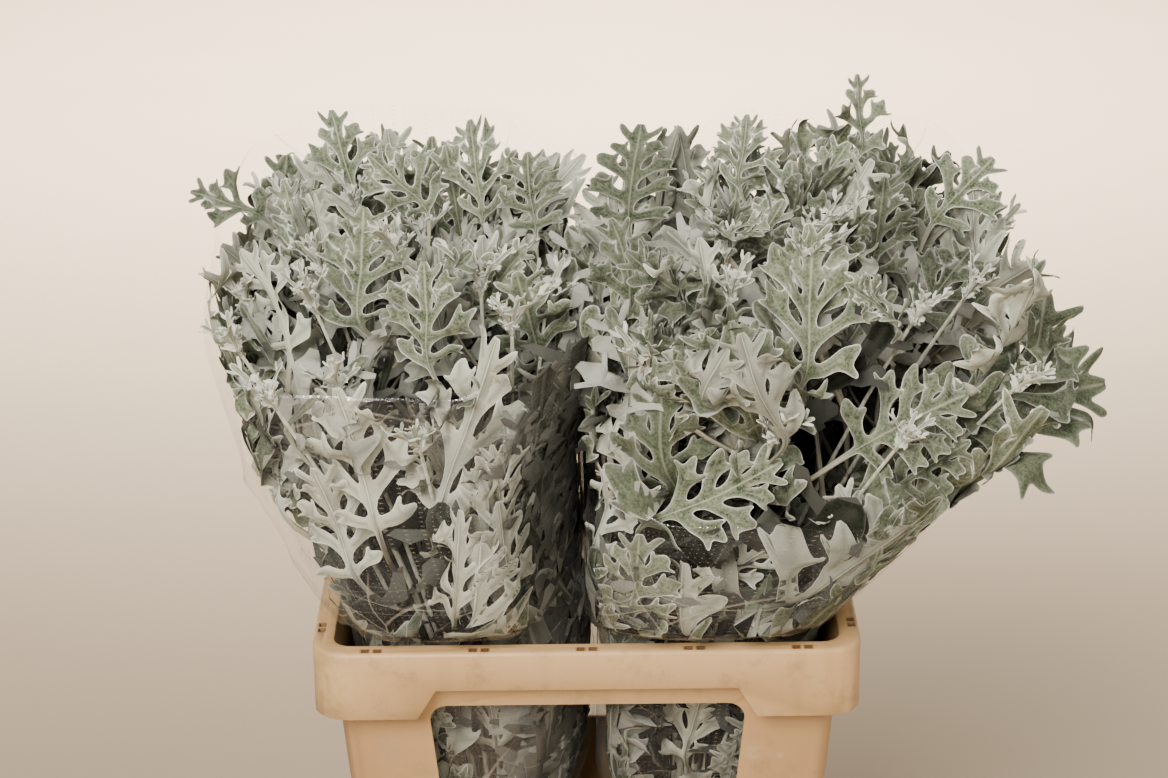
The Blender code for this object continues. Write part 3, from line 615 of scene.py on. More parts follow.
# Leaf felt: a green leaf under matted white hairs, thin above and thick beneath, along the veins and at the
# margin, so that each leaf is outlined in white. The hairs are drawn as coarse as 1.5 mm tufts, to show.
felt, shader = new_material("leaf felt")
place = add(felt, "TexCoord", {})
where = place.outputs["Object"]
rim, vein, tint, stalk, shade, under = (
    add(felt, "Attribute", {}, attribute_name=key).outputs["Fac"] for key in FELT_KEYS
)
tufts = add(felt, "TexNoise", {"Vector": where, "Scale": 520.0, "Detail": 2.0, "Roughness": 0.65})
tufts = tufts.outputs["Fac"]
thin = add(felt, "TexNoise", {"Vector": where, "Scale": 95.0, "Detail": 3.0, "Roughness": 0.6}).outputs["Fac"]
green = add(felt, "Mix", {0: tint, 6: srgb("#2d3a26"), 7: srgb("#4b583c")}, data_type="RGBA")
upper = coats(felt, green.outputs[2], (
    (thin, 0.35, 0.68, 1.0, "#6b735d"),
    (tufts, 0.40, 0.66, 0.48, "#969984"),
    (vein, 0.50, 1.0, 0.6, "#b9b8a2"),
))
cream = add(felt, "Mix", {0: thin, 6: srgb("#929482"), 7: srgb("#c6c7b6")}, data_type="RGBA")
cream = coats(felt, cream.outputs[2], (
    (tint, 0.0, 1.0, 1.0, "#b3b4a2"),
    # Beneath: painted shade along the lobes' veins, as in grooves; the pale midrib is thick felt and partly a
    # painted highlight.
    (vein, 0.30, 0.60, 0.5, "#737666"),
    (vein, 0.80, 0.92, 0.9, "#d6d7c9"),
))
tone = add(felt, "Mix", {0: under, 6: upper, 7: cream}, data_type="RGBA")
ragged = add(felt, "Math", {0: thin, 1: 1.5, 2: rim}, operation="MULTIPLY_ADD")
tone = coats(felt, tone.outputs[2], (
    (rim, 3.0, 0.5, 0.24, "#c6c8b8"),
    (ragged.outputs[0], 1.45, 0.85, 0.8, "#dcdccf"),
    (stalk, 0.0, 1.0, 1.0, "#b9b49c"),
    # Painted shade: leaves deep in a bunch, low down and in the cleft mixed toward near-black; older leaves,
    # a deeper green, are darkened the same way.
    (shade, 0.0, 1.0, 1.0, "#0a0c08"),
))
matted = add(felt, "Math", {0: tufts, 1: thin}, operation="ADD")
puckered = add(felt, "Math", {0: vein, 1: 1.4, 2: matted.outputs[0]}, operation="MULTIPLY_ADD")
bump = add(felt, "Bump", {"Height": puckered.outputs[0], "Strength": 0.5, "Distance": 0.0014})
add(felt, shader, {"Base Color": tone, "Normal": bump.outputs[0]})
add(felt, shader, {"Roughness": 0.9, "Specular IOR Level": 0.08})


# Stems.
# Seven cut stems to a bunch, held upright by the tie and fanning out above it, with side shoots among the
# leaves. They are woody at heart, pale green and felted outside, cut square at the foot.
STEM_RADIUS = 0.003
TIE_Z = 0.120
TIE_RADIUS = 0.013
FOOT_SPREAD = 1.5
STEM_FLARE = 1.6
FOOT_Z = 0.0033
BUNCH_X = 0.080
STEM_TOPS = {
    "left": (
        (-0.222, -0.060, 0.525),
        (-0.160, -0.118, 0.500),
        (-0.060, -0.115, 0.530),
        (-0.022, 0.010, 0.600),
        (-0.085, 0.100, 0.620),
        (-0.195, 0.065, 0.610),
        (-0.120, 0.000, 0.630),
    ),
    "right": (
        (0.030, -0.095, 0.500),
        (0.120, -0.120, 0.500),
        (0.225, -0.080, 0.530),
        (0.245, 0.045, 0.610),
        (0.165, 0.100, 0.640),
        (0.050, 0.060, 0.610),
        (0.150, -0.010, 0.610),
    ),
}


def stem_starts(side):
    """Where each stem passes the tie: all but the last stand in a ring, in the order of their tops."""
    tops = STEM_TOPS[side]
    centre = -BUNCH_X if side == "left" else BUNCH_X
    lean = [math.atan2(top[1], top[0] - centre) for top in tops[:-1]]
    order = sorted(range(len(lean)), key=lambda i: lean[i])
    starts = [np.zeros(2)] * len(tops)
    for rank, i in enumerate(order):
        angle = min(lean) + 2 * math.pi * rank / len(lean)
        starts[i] = TIE_RADIUS * np.array((math.cos(angle), math.sin(angle)))
    return [(np.array((centre, 0.0)), offset) for offset in starts]


def stem_spot(start, top, height):
    """The middle of a stem at a height: upright at the tie, leaning out above it."""
    middle, offset = start
    waist = middle + offset
    if height < TIE_Z:
        flat = waist + offset * (FOOT_SPREAD - 1.0) * ((TIE_Z - height) / TIE_Z) ** STEM_FLARE
    else:
        flat = waist + (np.array(top[:2]) - waist) * ((height - TIE_Z) / (top[2] - TIE_Z)) ** STEM_FLARE
    return np.array((*flat, height))


def merge_doubles(distance):
    """Merges the active object's doubled points and turns its faces outwards."""
    bpy.ops.object.mode_set(mode="EDIT")
    bpy.ops.mesh.select_all(action="SELECT")
    bpy.ops.mesh.remove_doubles(threshold=distance)
    bpy.ops.mesh.normals_make_consistent(inside=False)
    bpy.ops.object.mode_set(mode="OBJECT")


def felted_stem(name, lines, material):
    """Round stems along lines of points with a radius each, as one object with closed ends."""
    bpy.ops.object.select_all(action="DESELECT")
    curve = bpy.data.curves.new(name, "CURVE")
    curve.dimensions = "3D"
    curve.bevel_depth = 1.0
    curve.bevel_resolution = 2
    curve.use_fill_caps = True
    for line, radii in lines:
        spline = curve.splines.new("POLY")
        spline.points.add(len(line) - 1)
        for point, spot, radius in zip(spline.points, nestle(np.array(line)), radii):
            point.co = (*spot, 1.0)
            point.radius = radius
    made = bpy.data.objects.new(name, curve)
    bpy.context.scene.collection.objects.link(made)
    made.select_set(True)
    bpy.context.view_layer.objects.active = made
    bpy.ops.object.convert(target="MESH")
    merge_doubles(0.00001)
    bpy.ops.object.shade_smooth_by_angle(angle=math.radians(50))
    made.data.materials.clear()
    made.data.materials.append(material)
    return made


# Stem felt: short white down over a pale green bark, ridged lengthwise every few millimetres.
bark, shader = new_material("stem felt")
place = add(bark, "TexCoord", {})
long_way = add(bark, "Mapping", {"Vector": place.outputs["Object"], "Scale": (420.0, 420.0, 60.0)})
ridges = add(bark, "TexNoise", {"Vector": long_way.outputs[0], "Scale": 1.0, "Detail": 3.0})
down = add(bark, "MapRange", {"Value": ridges.outputs["Fac"], 1: 0.3, 2: 0.65, 3: 0.0, 4: 1.0})
tone = add(bark, "Mix", {0: down.outputs[0], 6: srgb("#9da183"), 7: srgb("#d8d8c6")}, data_type="RGBA")
bump = add(bark, "Bump", {"Height": ridges.outputs["Fac"], "Strength": 0.5, "Distance": 0.0006})
add(bark, shader, {"Base Color": tone.outputs[2], "Roughness": 0.88, "Normal": bump.outputs[0]})
add(bark, shader, {"Sheen Weight": 0.25, "Sheen Roughness": 0.5})

stem_lines = {}
for side in ("left", "right"):
    for number, (start, top) in enumerate(zip(stem_starts(side), STEM_TOPS[side]), 1):
        heights = np.concatenate([[FOOT_Z, 0.03, 0.06, 0.09], np.linspace(0.112, top[2], 22)])
        line = np.array([stem_spot(start, top, height) for height in heights])
        stem_lines[side, number] = line
        radii = STEM_RADIUS * np.interp(heights, (0.0, 0.2, top[2]), (1.0, 1.0, 0.62))
        stem = felted_stem(f"{side}_stem_{number}_felted", [(line, radii)], bark)
        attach(stem, "root")
        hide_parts(f"{side}_stem_{number}")


# Leaves that the CAD model places.
# The leaves that stand out in each bunch, each on its own stem: the stem, height where it grows, foot of
# the blade, tip, width, the way its upper side faces, its shape and how far it is folded.
FRONT = (0.0, -1.0, 0.15)
UP_FRONT = (0.0, -0.8, 0.6)
UP = (0.0, -0.3, 1.0)
RIGHT = (1.0, -0.3, 0.3)
BACK = (0.0, 1.0, 0.1)
BACK_LEFT = (-0.7, 0.7, 0.1)
BACK_RIGHT = (0.7, 0.7, 0.1)
INWARD_RIGHT = (0.75, 0.65, 0.1)
PLACED = {
    "left": (
        (3, 0.440, (-0.102, -0.145, 0.485), (-0.055, -0.158, 0.625), 0.090, BACK, "open", 0.30),
        (2, 0.420, (-0.147, -0.150, 0.475), (-0.172, -0.160, 0.590), 0.075, BACK, "broad", 0.30),
        (2, 0.385, (-0.165, -0.130, 0.430), (-0.192, -0.148, 0.525), 0.060, BACK, "square", 0.30),
        (1, 0.420, (-0.222, -0.085, 0.465), (-0.250, -0.070, 0.565), 0.060, INWARD_RIGHT, "feathered", 0.25),
        (1, 0.520, (-0.212, -0.075, 0.585), (-0.250, -0.020, 0.645), 0.060, INWARD_RIGHT, "broad", 0.25),
        (6, 0.590, (-0.236, 0.030, 0.652), (-0.290, 0.025, 0.676), 0.045, UP_FRONT, "short", 0.30),
        (3, 0.525, (-0.108, -0.125, 0.590), (-0.112, -0.110, 0.665), 0.065, UP_FRONT, "wide", 0.20),
        (7, 0.560, (-0.160, -0.075, 0.605), (-0.158, -0.030, 0.680), 0.065, UP_FRONT, "feathered", 0.25),
        (6, 0.600, (-0.170, 0.050, 0.655), (-0.188, 0.080, 0.722), 0.060, UP_FRONT, "open", 0.15),
        (7, 0.610, (-0.114, 0.030, 0.655), (-0.158, 0.030, 0.702), 0.060, UP_FRONT, "wide", 0.15),
        (5, 0.600, (-0.070, 0.045, 0.645), (-0.085, 0.085, 0.712), 0.060, UP_FRONT, "wide", 0.20),
        (4, 0.590, (-0.022, 0.030, 0.640), (-0.034, 0.055, 0.695), 0.055, UP_FRONT, "broad", 0.20),
        (6, 0.500, (-0.205, 0.095, 0.560), (-0.245, 0.112, 0.640), 0.060, BACK_LEFT, "square", 0.25),
        (5, 0.545, (-0.135, 0.125, 0.590), (-0.150, 0.138, 0.690), 0.065, BACK, "broad", 0.25),
        (5, 0.420, (-0.105, 0.105, 0.470), (-0.100, 0.128, 0.570), 0.060, BACK, "wide", 0.25),
        (5, 0.500, (-0.060, 0.112, 0.560), (-0.052, 0.122, 0.650), 0.045, BACK, "short", 0.25),
        (6, 0.420, (-0.170, 0.090, 0.455), (-0.190, 0.118, 0.545), 0.060, BACK, "feathered", 0.25),
        (4, 0.500, (-0.040, -0.050, 0.560), (-0.055, -0.090, 0.650), 0.060, UP_FRONT, "square", 0.25),
        (3, 0.230, (-0.068, -0.062, 0.255), (-0.074, -0.086, 0.322), 0.050, BACK, "short", 0.25),
    ),
    "right": (
        (1, 0.470, (0.020, -0.120, 0.525), (0.030, -0.130, 0.615), 0.066, INWARD_RIGHT, "broad", 0.45),
        (1, 0.410, (0.015, -0.115, 0.445), (0.018, -0.130, 0.515), 0.056, INWARD_RIGHT, "broad", 0.35),
        (1, 0.440, (0.050, -0.150, 0.480), (0.138, -0.168, 0.535), 0.065, FRONT, "broad", 0.30),
        (3, 0.470, (0.235, -0.115, 0.535), (0.382, -0.050, 0.545), 0.120, UP_FRONT, "wide", 0.10),
        (2, 0.490, (0.190, -0.150, 0.535), (0.268, -0.145, 0.575), 0.075, UP_FRONT, "broad", 0.15),
        (3, 0.440, (0.222, -0.135, 0.500), (0.270, -0.160, 0.545), 0.060, UP_FRONT, "open", 0.20),
        (7, 0.520, (0.156, -0.125, 0.580), (0.163, -0.080, 0.675), 0.085, UP_FRONT, "wide", 0.20),
        (7, 0.600, (0.100, -0.030, 0.650), (0.128, -0.070, 0.668), 0.050, UP, "broad", 0.20),
        (6, 0.590, (0.042, 0.060, 0.635), (0.040, 0.095, 0.704), 0.065, UP_FRONT, "square", 0.20),
        (5, 0.635, (0.208, 0.055, 0.690), (0.204, 0.050, 0.754), 0.045, UP_FRONT, "open", 0.35),
        (4, 0.600, (0.262, 0.040, 0.640), (0.309, 0.060, 0.685), 0.070, UP_FRONT, "open", 0.15),
        (4, 0.540, (0.245, -0.030, 0.590), (0.284, -0.020, 0.640), 0.065, UP_FRONT, "short", 0.20),
        (4, 0.510, (0.262, 0.085, 0.560), (0.310, 0.100, 0.630), 0.060, BACK_RIGHT, "wide", 0.25),
        (5, 0.560, (0.130, 0.125, 0.600), (0.118, 0.136, 0.690), 0.060, BACK, "broad", 0.25),
        (6, 0.430, (0.095, 0.095, 0.460), (0.090, 0.124, 0.555), 0.060, BACK, "square", 0.25),
        (5, 0.430, (0.180, 0.098, 0.470), (0.205, 0.122, 0.560), 0.060, BACK, "feathered", 0.25),
        (6, 0.510, (0.056, 0.105, 0.565), (0.054, 0.114, 0.645), 0.045, BACK, "short", 0.25),
        (2, 0.400, (0.095, -0.135, 0.425), (0.140, -0.158, 0.470), 0.045, BACK, "square", 0.25),
        (4, 0.420, (0.215, 0.010, 0.450), (0.265, 0.020, 0.530), 0.060, RIGHT, "broad", 0.25),
        (2, 0.225, (0.075, -0.062, 0.245), (0.086, -0.086, 0.308), 0.050, BACK, "short", 0.25),
        (5, 0.600, (0.120, 0.085, 0.655), (0.126, 0.105, 0.708), 0.050, UP_FRONT, "wide", 0.20),
    ),
}
FINEST = ("left_leaf_07", "left_leaf_08", "right_leaf_03", "right_leaf_04", "right_leaf_05", "right_leaf_07")
# Older leaves, thinner felted and so a deeper green.
DEEPER = {
    "left_leaf_06": 0.30, "left_leaf_12": 0.20, "right_leaf_04": 0.35, "right_leaf_05": 0.15,
    "right_leaf_06": 0.35, "right_leaf_09": 0.35, "right_leaf_12": 0.55,
}
LOBE_REACH = {name: reach for name, pairs, reach, *rest in SHAPES}
chance = np.random.default_rng(11)
views = []
for side, rows in PLACED.items():
    for number, (stem, height, foot, tip, width, facing, shape, fold) in enumerate(rows, 1):
        name = f"{side}_leaf_{number:02d}"
        line = stem_lines[side, stem]
        here = np.array([np.interp(height, line[:, 2], line[:, k]) for k in range(3)])
        foot, tip, facing = np.array(foot), np.array(tip), unit(np.array(facing))
        size = np.linalg.norm(tip - foot)
        middle = (foot + tip) / 2 + 0.08 * size * facing
        turn = here + 0.35 * (foot - here) + np.array((0.0, 0.0, -0.012))
        breadth = 0.5 * width / (0.86 * LOBE_REACH[shape] * size)
        leaf = grow_leaf(
            shapes[shape, 2 if name in FINEST else 1], (here, turn, foot, middle, tip), 0.5, facing,
            min(max(breadth, 0.85), 1.5), chance, fold=fold, thick=1.1, calm=0.9, shade=DEEPER.get(name, 0.0),
        )
        if facing[1] < 0 or middle[1] < 0:
            views += [foot + share * (tip - foot) for share in (0.15, 0.4, 0.65, 0.9)]
        made = join_leaves(name + "_felted", [leaf], felt)
        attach(made, "root")
        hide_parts(name)


# Foliage.
# Round the placed leaves each bunch is packed with others, on thin leafy shoots: a layer pressed to the film,
# mostly white underside outwards, others within it, and upright ones over the top, with tufts of young ones.
# Leaves deep in a bunch, low down and in the cleft between the bunches are darkened as painted shade.
SHOOTS = 18
SHOOT_TOP = 0.640
CROWN_TOP = 0.686
GOLDEN = 2.39996
# What differs from bunch to bunch: the gap between pressed leaves, how much painted shade darkens the low
# ones, the share that is a deeper green, and how far the crown slopes down and reaches outwards.
BUNCHES = {"left": (0.072, 0.46, 0.18, 0.060, 0.95), "right": (0.066, 0.54, 0.45, 0.022, 0.70)}
SIGHT_CLEAR = 0.020
CLEFT_X = -0.020
chance = np.random.default_rng(5)
eye = np.array(CAMERA_SPOT)


def even_spots(count):
    """Places spread evenly over a rounded square from -1 to 1."""
    spots = []
    while len(spots) < count:
        tries = chance.uniform(-1, 1, (40, 2))
        tries = tries[(np.abs(tries) ** SQUARENESS).sum(1) < 1]
        gaps = [min((np.linalg.norm(spot - other) for other in spots), default=1.0) for spot in tries]
        spots.append(tries[int(np.argmax(gaps))])
    return spots


def within(side, angle, share, height):
    """A point at a share of the way from a sleeve's middle to its film."""
    middle_x, middle_y, half_x, half_y = section_at(side, height)
    cosine, sine = math.cos(angle), math.sin(angle)
    x = middle_x + share * half_x * math.copysign(abs(cosine) ** (2 / SQUARENESS), cosine)
    y = middle_y + share * half_y * math.copysign(abs(sine) ** (2 / SQUARENESS), sine)
    return np.array((x, y, height))


def hides_placed(points):
    """Whether a leaf would stand between the camera and a placed leaf."""
    for spot in views:
        sight = eye - spot
        apart = points - spot
        share = apart @ sight / sight.dot(sight)
        off = np.linalg.norm(apart - share[:, None] * sight, axis=1)
        if ((share > 0.003) & (off < SIGHT_CLEAR)).mean() > 0.06:
            return True
    return False


def layer(side, share, low, high, gap):
    """Blades in rows round a bunch: foot, middle and tip of each, and the way its upper side faces."""
    blades = []
    turn = chance.uniform(0, 1)
    for height in np.arange(low, high, 0.75 * gap):
        around = 2 * sum(section_at(side, height)[2:]) * 2 * share
        count = int(around / gap)
        turn += 0.618
        for k in range(count):
            angle = 2 * math.pi * (k + turn + chance.uniform(-0.3, 0.3)) / count
            size = chance.uniform(0.085, 0.135) - 0.015 * (height > 0.5)
            tilt = chance.normal() * 0.45
            swing = 0.5 * size * math.sin(tilt) / 0.16
            rise = 0.5 * size * math.cos(tilt)
            z = height + chance.uniform(-0.5, 0.5) * gap
            above = np.clip((z - 0.53) / 0.06, 0.0, 1.0)
            near = share - 0.20 * above * max(math.cos(angle), 0.0) * (side == "right")
            foot = within(side, angle - swing, near - chance.uniform(0.08, 0.26), z - rise)
            middle = within(side, angle, near, z)
            tip = within(side, angle + swing, near + chance.uniform(-0.05, 0.16), z + rise)
            outward = within(side, angle, 1.0, z) - within(side, angle, 0.6, z)
            turned = chance.random() < (0.78 if side == "left" else 0.45 if middle[0] < 0.2 else 0.1)
            facing = -unit(outward) if turned else unit(outward) + np.array((0.0, 0.0, 0.6))
            blades.append((foot, middle, tip, unit(facing + 0.3 * chance.normal(size=3))))
    return blades


def crown(side, drop, gap, slope, reach):
    """Blades over the top of a bunch, most of them upright with the upper side towards the front."""
    middle_x, middle_y, half_x, half_y = section_at(side, 0.64)
    blades = []
    for u, v in even_spots(int(4 * half_x * half_y / gap**2)):
        outer = abs(u) if (u < 0) == (side == "left") else 0.0
        top = CROWN_TOP - slope * outer**3 - 0.034 * max(-v, 0.0) - drop + chance.uniform(-0.018, 0.012)
        size = chance.uniform(0.065, 0.110)
        way = unit(np.array((0.35 * u, 0.25 * v, 1.0)) + np.array((0.45, 0.45, 0.2)) * chance.normal(size=3))
        x = middle_x + (reach if outer else 1.04) * half_x * u
        tip = np.array((x, middle_y + 0.92 * half_y * v, top))
        foot = tip - size * way
        front = chance.random() < 0.7
        facing = unit(np.array((0.0, -0.8, 0.55)) * (1 if front else -1) + 0.35 * chance.normal(size=3))
        bow = 0.08 * size * facing
        blades.append((foot, (foot + tip) / 2 + bow, tip, facing))
    return blades


def cleft_at(point):
    """How deep in the cleft between the bunches a point is, from 0 to 1."""
    beside = np.clip((0.040 - abs(point[0] - CLEFT_X)) / 0.030, 0.0, 1.0)
    return beside * np.clip((0.63 - point[2]) / 0.08, 0.0, 1.0)


def nearest_node(nodes, wanted):
    """The shoot that passes nearest to a place, and its nearest point."""
    away = np.linalg.norm(nodes - wanted, axis=2)
    owner, spot = np.unravel_index(away.argmin(), away.shape)
    return owner, nodes[owner, spot]


for side, (pressed_gap, low_painted_shade, deeper, slope, reach) in BUNCHES.items():
    middle_x, middle_y, half_x, half_y = section_at(side, 0.60)
    shoots = []
    for u, v in even_spots(SHOOTS):
        top = SHOOT_TOP - 0.055 * max(abs(u), abs(v)) ** 3 - 0.05 * max(-v, 0.0) ** 3
        top += chance.uniform(-0.02, 0.01)
        head = np.array((middle_x + 0.84 * half_x * u, middle_y + 0.84 * half_y * v, top))
        centre = -BUNCH_X if side == "left" else BUNCH_X
        start = (np.array((centre, 0.0)), 0.016 * np.array((u, v)))
        heights = np.linspace(0.14, top, 24)
        line = np.array([stem_spot(start, head, z) for z in heights])
        shoots.append((line, np.interp(heights, (0.14, top), (0.0022, 0.0013))))
    made = felted_stem(side + "_shoots", shoots, bark)
    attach(made, "root")

    # Share of the way out to the film, lowest and highest, gap between leaves, fineness, and painted shade,
    # near black deep inside.
    blades = []
    for share, low, high, gap, level, shade in (
        (0.98, 0.225, 0.50, pressed_gap, 1, 0.0),
        (0.98, 0.51, 0.61, 0.052, 1, 0.0),
        (0.84, 0.46, 0.62, 0.068, 1, 0.15),
        (0.76, 0.24, 0.50, 0.060, 0, 0.96),
        (0.68, 0.50, 0.60, 0.059, 1, 0.45),
        (0.52, 0.26, 0.60, 0.068, 0, 0.98),
    ):
        blades += [(blade, level, shade) for blade in layer(side, share, low, high, gap)]
    # The crown's lower layers are darkened as painted shade.
    for drop, gap, level, shade in ((0.0, 0.038, 1, 0.0), (0.042, 0.046, 0, 0.45), (0.085, 0.062, 0, 0.80)):
        blades += [(blade, level, shade) for blade in crown(side, drop, gap, slope, reach)]
    # Packed closer in the cleft between the bunches, nearly black as painted shade.
    packed = layer(side, 0.95, 0.34, 0.58, 0.044)
    blades += [(blade, 0, 0.90) for blade in packed if -0.036 < blade[1][0] < 0.020]
    grown = [[] for _ in shoots]
    nodes = np.array([line for line, radii in shoots])
    for (foot, middle, tip, facing), level, shade in blades:
        # Painted shade: leaves darker towards the bottom of a bunch, and near-black in the cleft between the
        # bunches.
        low = np.clip((0.50 - middle[2]) / 0.14, 0.0, 1.0) * low_painted_shade
        if chance.random() < deeper:
            low = max(low, chance.uniform(0.25, 0.55))
        cleft = cleft_at(middle)
        level = 0 if cleft > 0.7 else level
        owner, root = nearest_node(nodes, foot - 0.4 * (tip - foot) + np.array((0.0, 0.0, -0.02)))
        bend = root + 0.4 * (foot - root) + np.array((0.0, 0.0, -0.004))
        shape = MATURE[chance.integers(len(MATURE))] if shade < 0.4 else ("open", "short")[chance.integers(2)]
        shape = "young" if shade > 0.85 else shape
        leaf = grow_leaf(
            shapes[shape, level], (root, bend, foot, middle, tip), 0.5, facing,
            chance.uniform(0.95, 1.2) * (1.7 if shape == "young" else 1.0),
            chance, side=side, fold=chance.uniform(0.05, 0.45), calm=1.3,
            shade=max(shade * chance.uniform(0.93, 1.0), low, 0.88 * cleft),
        )
        if not hides_placed(leaf["points"]):
            grown[owner].append(leaf)
    # Packed closer low down too, where the two films touch, darkened as painted shade.
    steady, chance = chance, np.random.default_rng(17)
    for foot, middle, tip, facing in layer(side, 0.99, 0.20, 0.40, 0.052):
        if abs(middle[0]) < 0.026:
            owner, root = nearest_node(nodes, foot)
            leaf = grow_leaf(
                shapes["young", 0], (root, root + 0.4 * (foot - root), foot, middle, tip), 0.5, facing, 1.9,
                chance, side=side, fold=0.3, calm=1.3, shade=chance.uniform(0.50, 0.92),
            )
            grown[owner].append(leaf)
    chance = steady
    for number, ((line, radii), leaves) in enumerate(zip(shoots, grown), 1):
        axis = unit(line[-1] - line[-2])
        for k in range(6):
            turn = k * GOLDEN + number
            out = np.array((math.cos(turn), math.sin(turn), 0.0))
            size, lean = chance.uniform(0.024, 0.044), 0.25 + 0.1 * k
            spine = [line[-1] + size * t * (axis + lean * t * out) for t in (0.0, 0.25, 0.5, 0.75, 1.0)]
            inner = unit(0.5 * axis - out)
            leaves.append(grow_leaf(shapes["young", 0], spine, 0.12, inner, 1.1, chance, fold=0.5, thick=0.8))
        made = join_leaves(f"{side}_shoot_{number:02d}_leaves", leaves, felt)
        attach(made, "root")


# Sleeves.
# Tapered bags of clear perforated polypropylene film, open at both ends, creased where they are drawn in
# and where they bulge over the bucket's rim. Each is one sheet, welded down its back.
FILM_WALL = 0.00035
FILM_COLUMNS = 136
FILM_ROWS = 76
FOLD_DEEP = 0.0048
# Each sleeve's film laid flat before it is welded into a tapered bag: its middling girth, and the height of
# its foot.
SLEEVE_GIRTH = 0.75  # middling girth, by which the pattern on the film is scaled
SLEEVE_FOOT_Z = 0.0035


def crease_map(u, v, creases):
    """How deep the film lies below its taut form: nothing along the sharp crests, deepest between them."""
    total = np.zeros_like(u)
    for u0, v0, u1, v1, width, strength in creases:
        along_u, along_v = u1 - u0, v1 - v0
        off_u = (u - u0 + 0.5) % 1.0 - 0.5
        share = np.clip((off_u * along_u + (v - v0) * along_v) / (along_u**2 + along_v**2), 0.0, 1.0)
        away = np.hypot(off_u - share * along_u, v - v0 - share * along_v)
        total += strength * np.exp(-away / width)
    return 1.0 - np.clip(total, 0.0, 1.0)


def draw_creases(side, chance):
    """Creases on the unrolled film, v running up it: long ones, short ones at any slant, some at the rim."""
    creases = []

    def crease(u, v, along_u, along_v, widths, strengths):
        creases.append((u, v, u + along_u, v + along_v, chance.uniform(*widths), chance.uniform(*strengths)))

    for _ in range(46):
        u, v = chance.uniform(0, 1), chance.uniform(0.0, 0.55)
        long = chance.uniform(0.15, 0.5)
        crease(u, v, chance.normal() * 0.05, long, (0.008, 0.028), (0.3, 1.0))
    for _ in range(60):
        u, v = chance.uniform(0, 1), chance.uniform(0.3, 1.0)
        turn, long = chance.uniform(0, math.pi), chance.uniform(0.02, 0.10)
        crease(u, v, long * math.cos(turn), long * math.sin(turn), (0.004, 0.014), (0.3, 0.9))
    for _ in range(36 if side == "right" else 14):
        u, v = chance.uniform(0.55, 0.95), chance.uniform(0.50, 0.66)
        long, tilt = chance.uniform(0.04, 0.14), chance.normal() * 0.15
        crease(u, v, long, tilt * long, (0.004, 0.010), (0.5, 1.0))
    return creases


# Clear film: next to nothing of it is seen but its shine, most along the creases, and its tiny perforations
# in rows 3.7 mm apart. A little of the light stays in it as haze.
film, shader = new_material("clear film")
flat = add(film, "Attribute", {}, attribute_name="unrolled").outputs["Vector"]
crest = add(film, "Attribute", {}, attribute_name="crest").outputs["Fac"]
cells = add(film, "VectorMath", {0: flat, 1: (270.0, 270.0, 0.0)}, operation="MULTIPLY")
parts = add(film, "VectorMath", {0: cells.outputs[0]}, operation="FRACTION")
off = add(film, "VectorMath", {0: parts.outputs[0], 1: (0.5, 0.5, 0.0)}, operation="DISTANCE")
dots = add(film, "MapRange", {"Value": off.outputs["Value"], 1: 0.15, 2: 0.08, 3: 0.0, 4: 0.24})
wander = add(film, "TexNoise", {"Vector": flat, "Scale": 11.0, "Detail": 1.0}, noise_dimensions="2D")
haze = add(film, "MapRange", {"Value": wander.outputs["Fac"], 1: 0.35, 2: 0.75, 3: 0.006, 4: 0.030})
lines = add(film, "MapRange", {"Value": crest, 1: 0.70, 2: 1.0, 3: 0.0, 4: 0.08})
cover = add(film, "Math", {0: haze.outputs[0], 1: lines.outputs[0]}, operation="ADD")
# Crumples: facets some 60 mm wide with sharp edges, and longer, lower ones where the film folds over the rim.
sway = (0.035, 0.035, 0.0)
shift = add(film, "VectorMath", {0: wander.outputs["Color"], 1: sway, 2: flat}, operation="MULTIPLY_ADD")
up = add(film, "SeparateXYZ", {0: flat})
some = add(film, "MapRange", {"Value": wander.outputs["Fac"], 1: 0.45, 2: 0.60, 3: 0.15, 4: 1.0})
facets = []
for stretch, low, high, most in (((13.0, 10.0, 0.0), 0.0, 0.1, 0.26), ((6.0, 50.0, 0.0), 0.47, 0.42, 0.36)):
    cells = add(film, "VectorMath", {0: shift.outputs[0], 1: stretch}, operation="MULTIPLY")
    facet = add(
        film, "TexVoronoi", {"Vector": cells.outputs[0], "Scale": 1.0},
        feature="DISTANCE_TO_EDGE", voronoi_dimensions="2D",
    )
    facets.append(facet.outputs["Distance"])
    ridge = add(film, "MapRange", {"Value": facets[-1], 1: 0.012, 2: 0.003, 3: 0.0, 4: most})
    where = add(film, "MapRange", {"Value": up.outputs["Y"], 1: low, 2: high, 3: 0.0, 4: 1.0})
    shown = add(film, "Math", {0: ridge.outputs[0], 1: where.outputs[0]}, operation="MULTIPLY")
    shown = add(film, "Math", {0: shown.outputs[0], 1: some.outputs[0]}, operation="MULTIPLY")
    cover = add(film, "Math", {0: cover.outputs[0], 1: shown.outputs[0]}, operation="ADD")
cover = add(film, "Math", {0: cover.outputs[0], 1: dots.outputs[0]}, operation="MAXIMUM")
slant = add(film, "LayerWeight", {"Blend": 0.5})
bright = add(film, "MapRange", {"Value": slant.outputs["Facing"], 1: 0.72, 2: 1.0, 3: 0.0, 4: 0.32})
cover = add(film, "Math", {0: cover.outputs[0], 1: bright.outputs[0]}, operation="ADD")
bump = add(film, "Bump", {"Height": facets[0], "Strength": 0.6, "Distance": 0.012})
add(film, shader, {"Base Color": srgb("#f4f3ee"), "Metallic": 0.85, "Roughness": 0.15})
add(film, shader, {"Alpha": cover.outputs[0], "Normal": bump.outputs[0]})

# The film's inner face, misted by the leaves' breath.
misted, shader = new_material("misted film")
place = add(misted, "TexCoord", {})
cloud = add(misted, "TexNoise", {"Vector": place.outputs["Object"], "Scale": 16.0, "Detail": 0.0})
haze = add(misted, "MapRange", {"Value": cloud.outputs["Fac"], 1: 0.35, 2: 0.75, 3: 0.004, 4: 0.020})
add(misted, shader, {"Base Color": srgb("#f4f3ee"), "Roughness": 0.4, "Alpha": haze.outputs[0]})

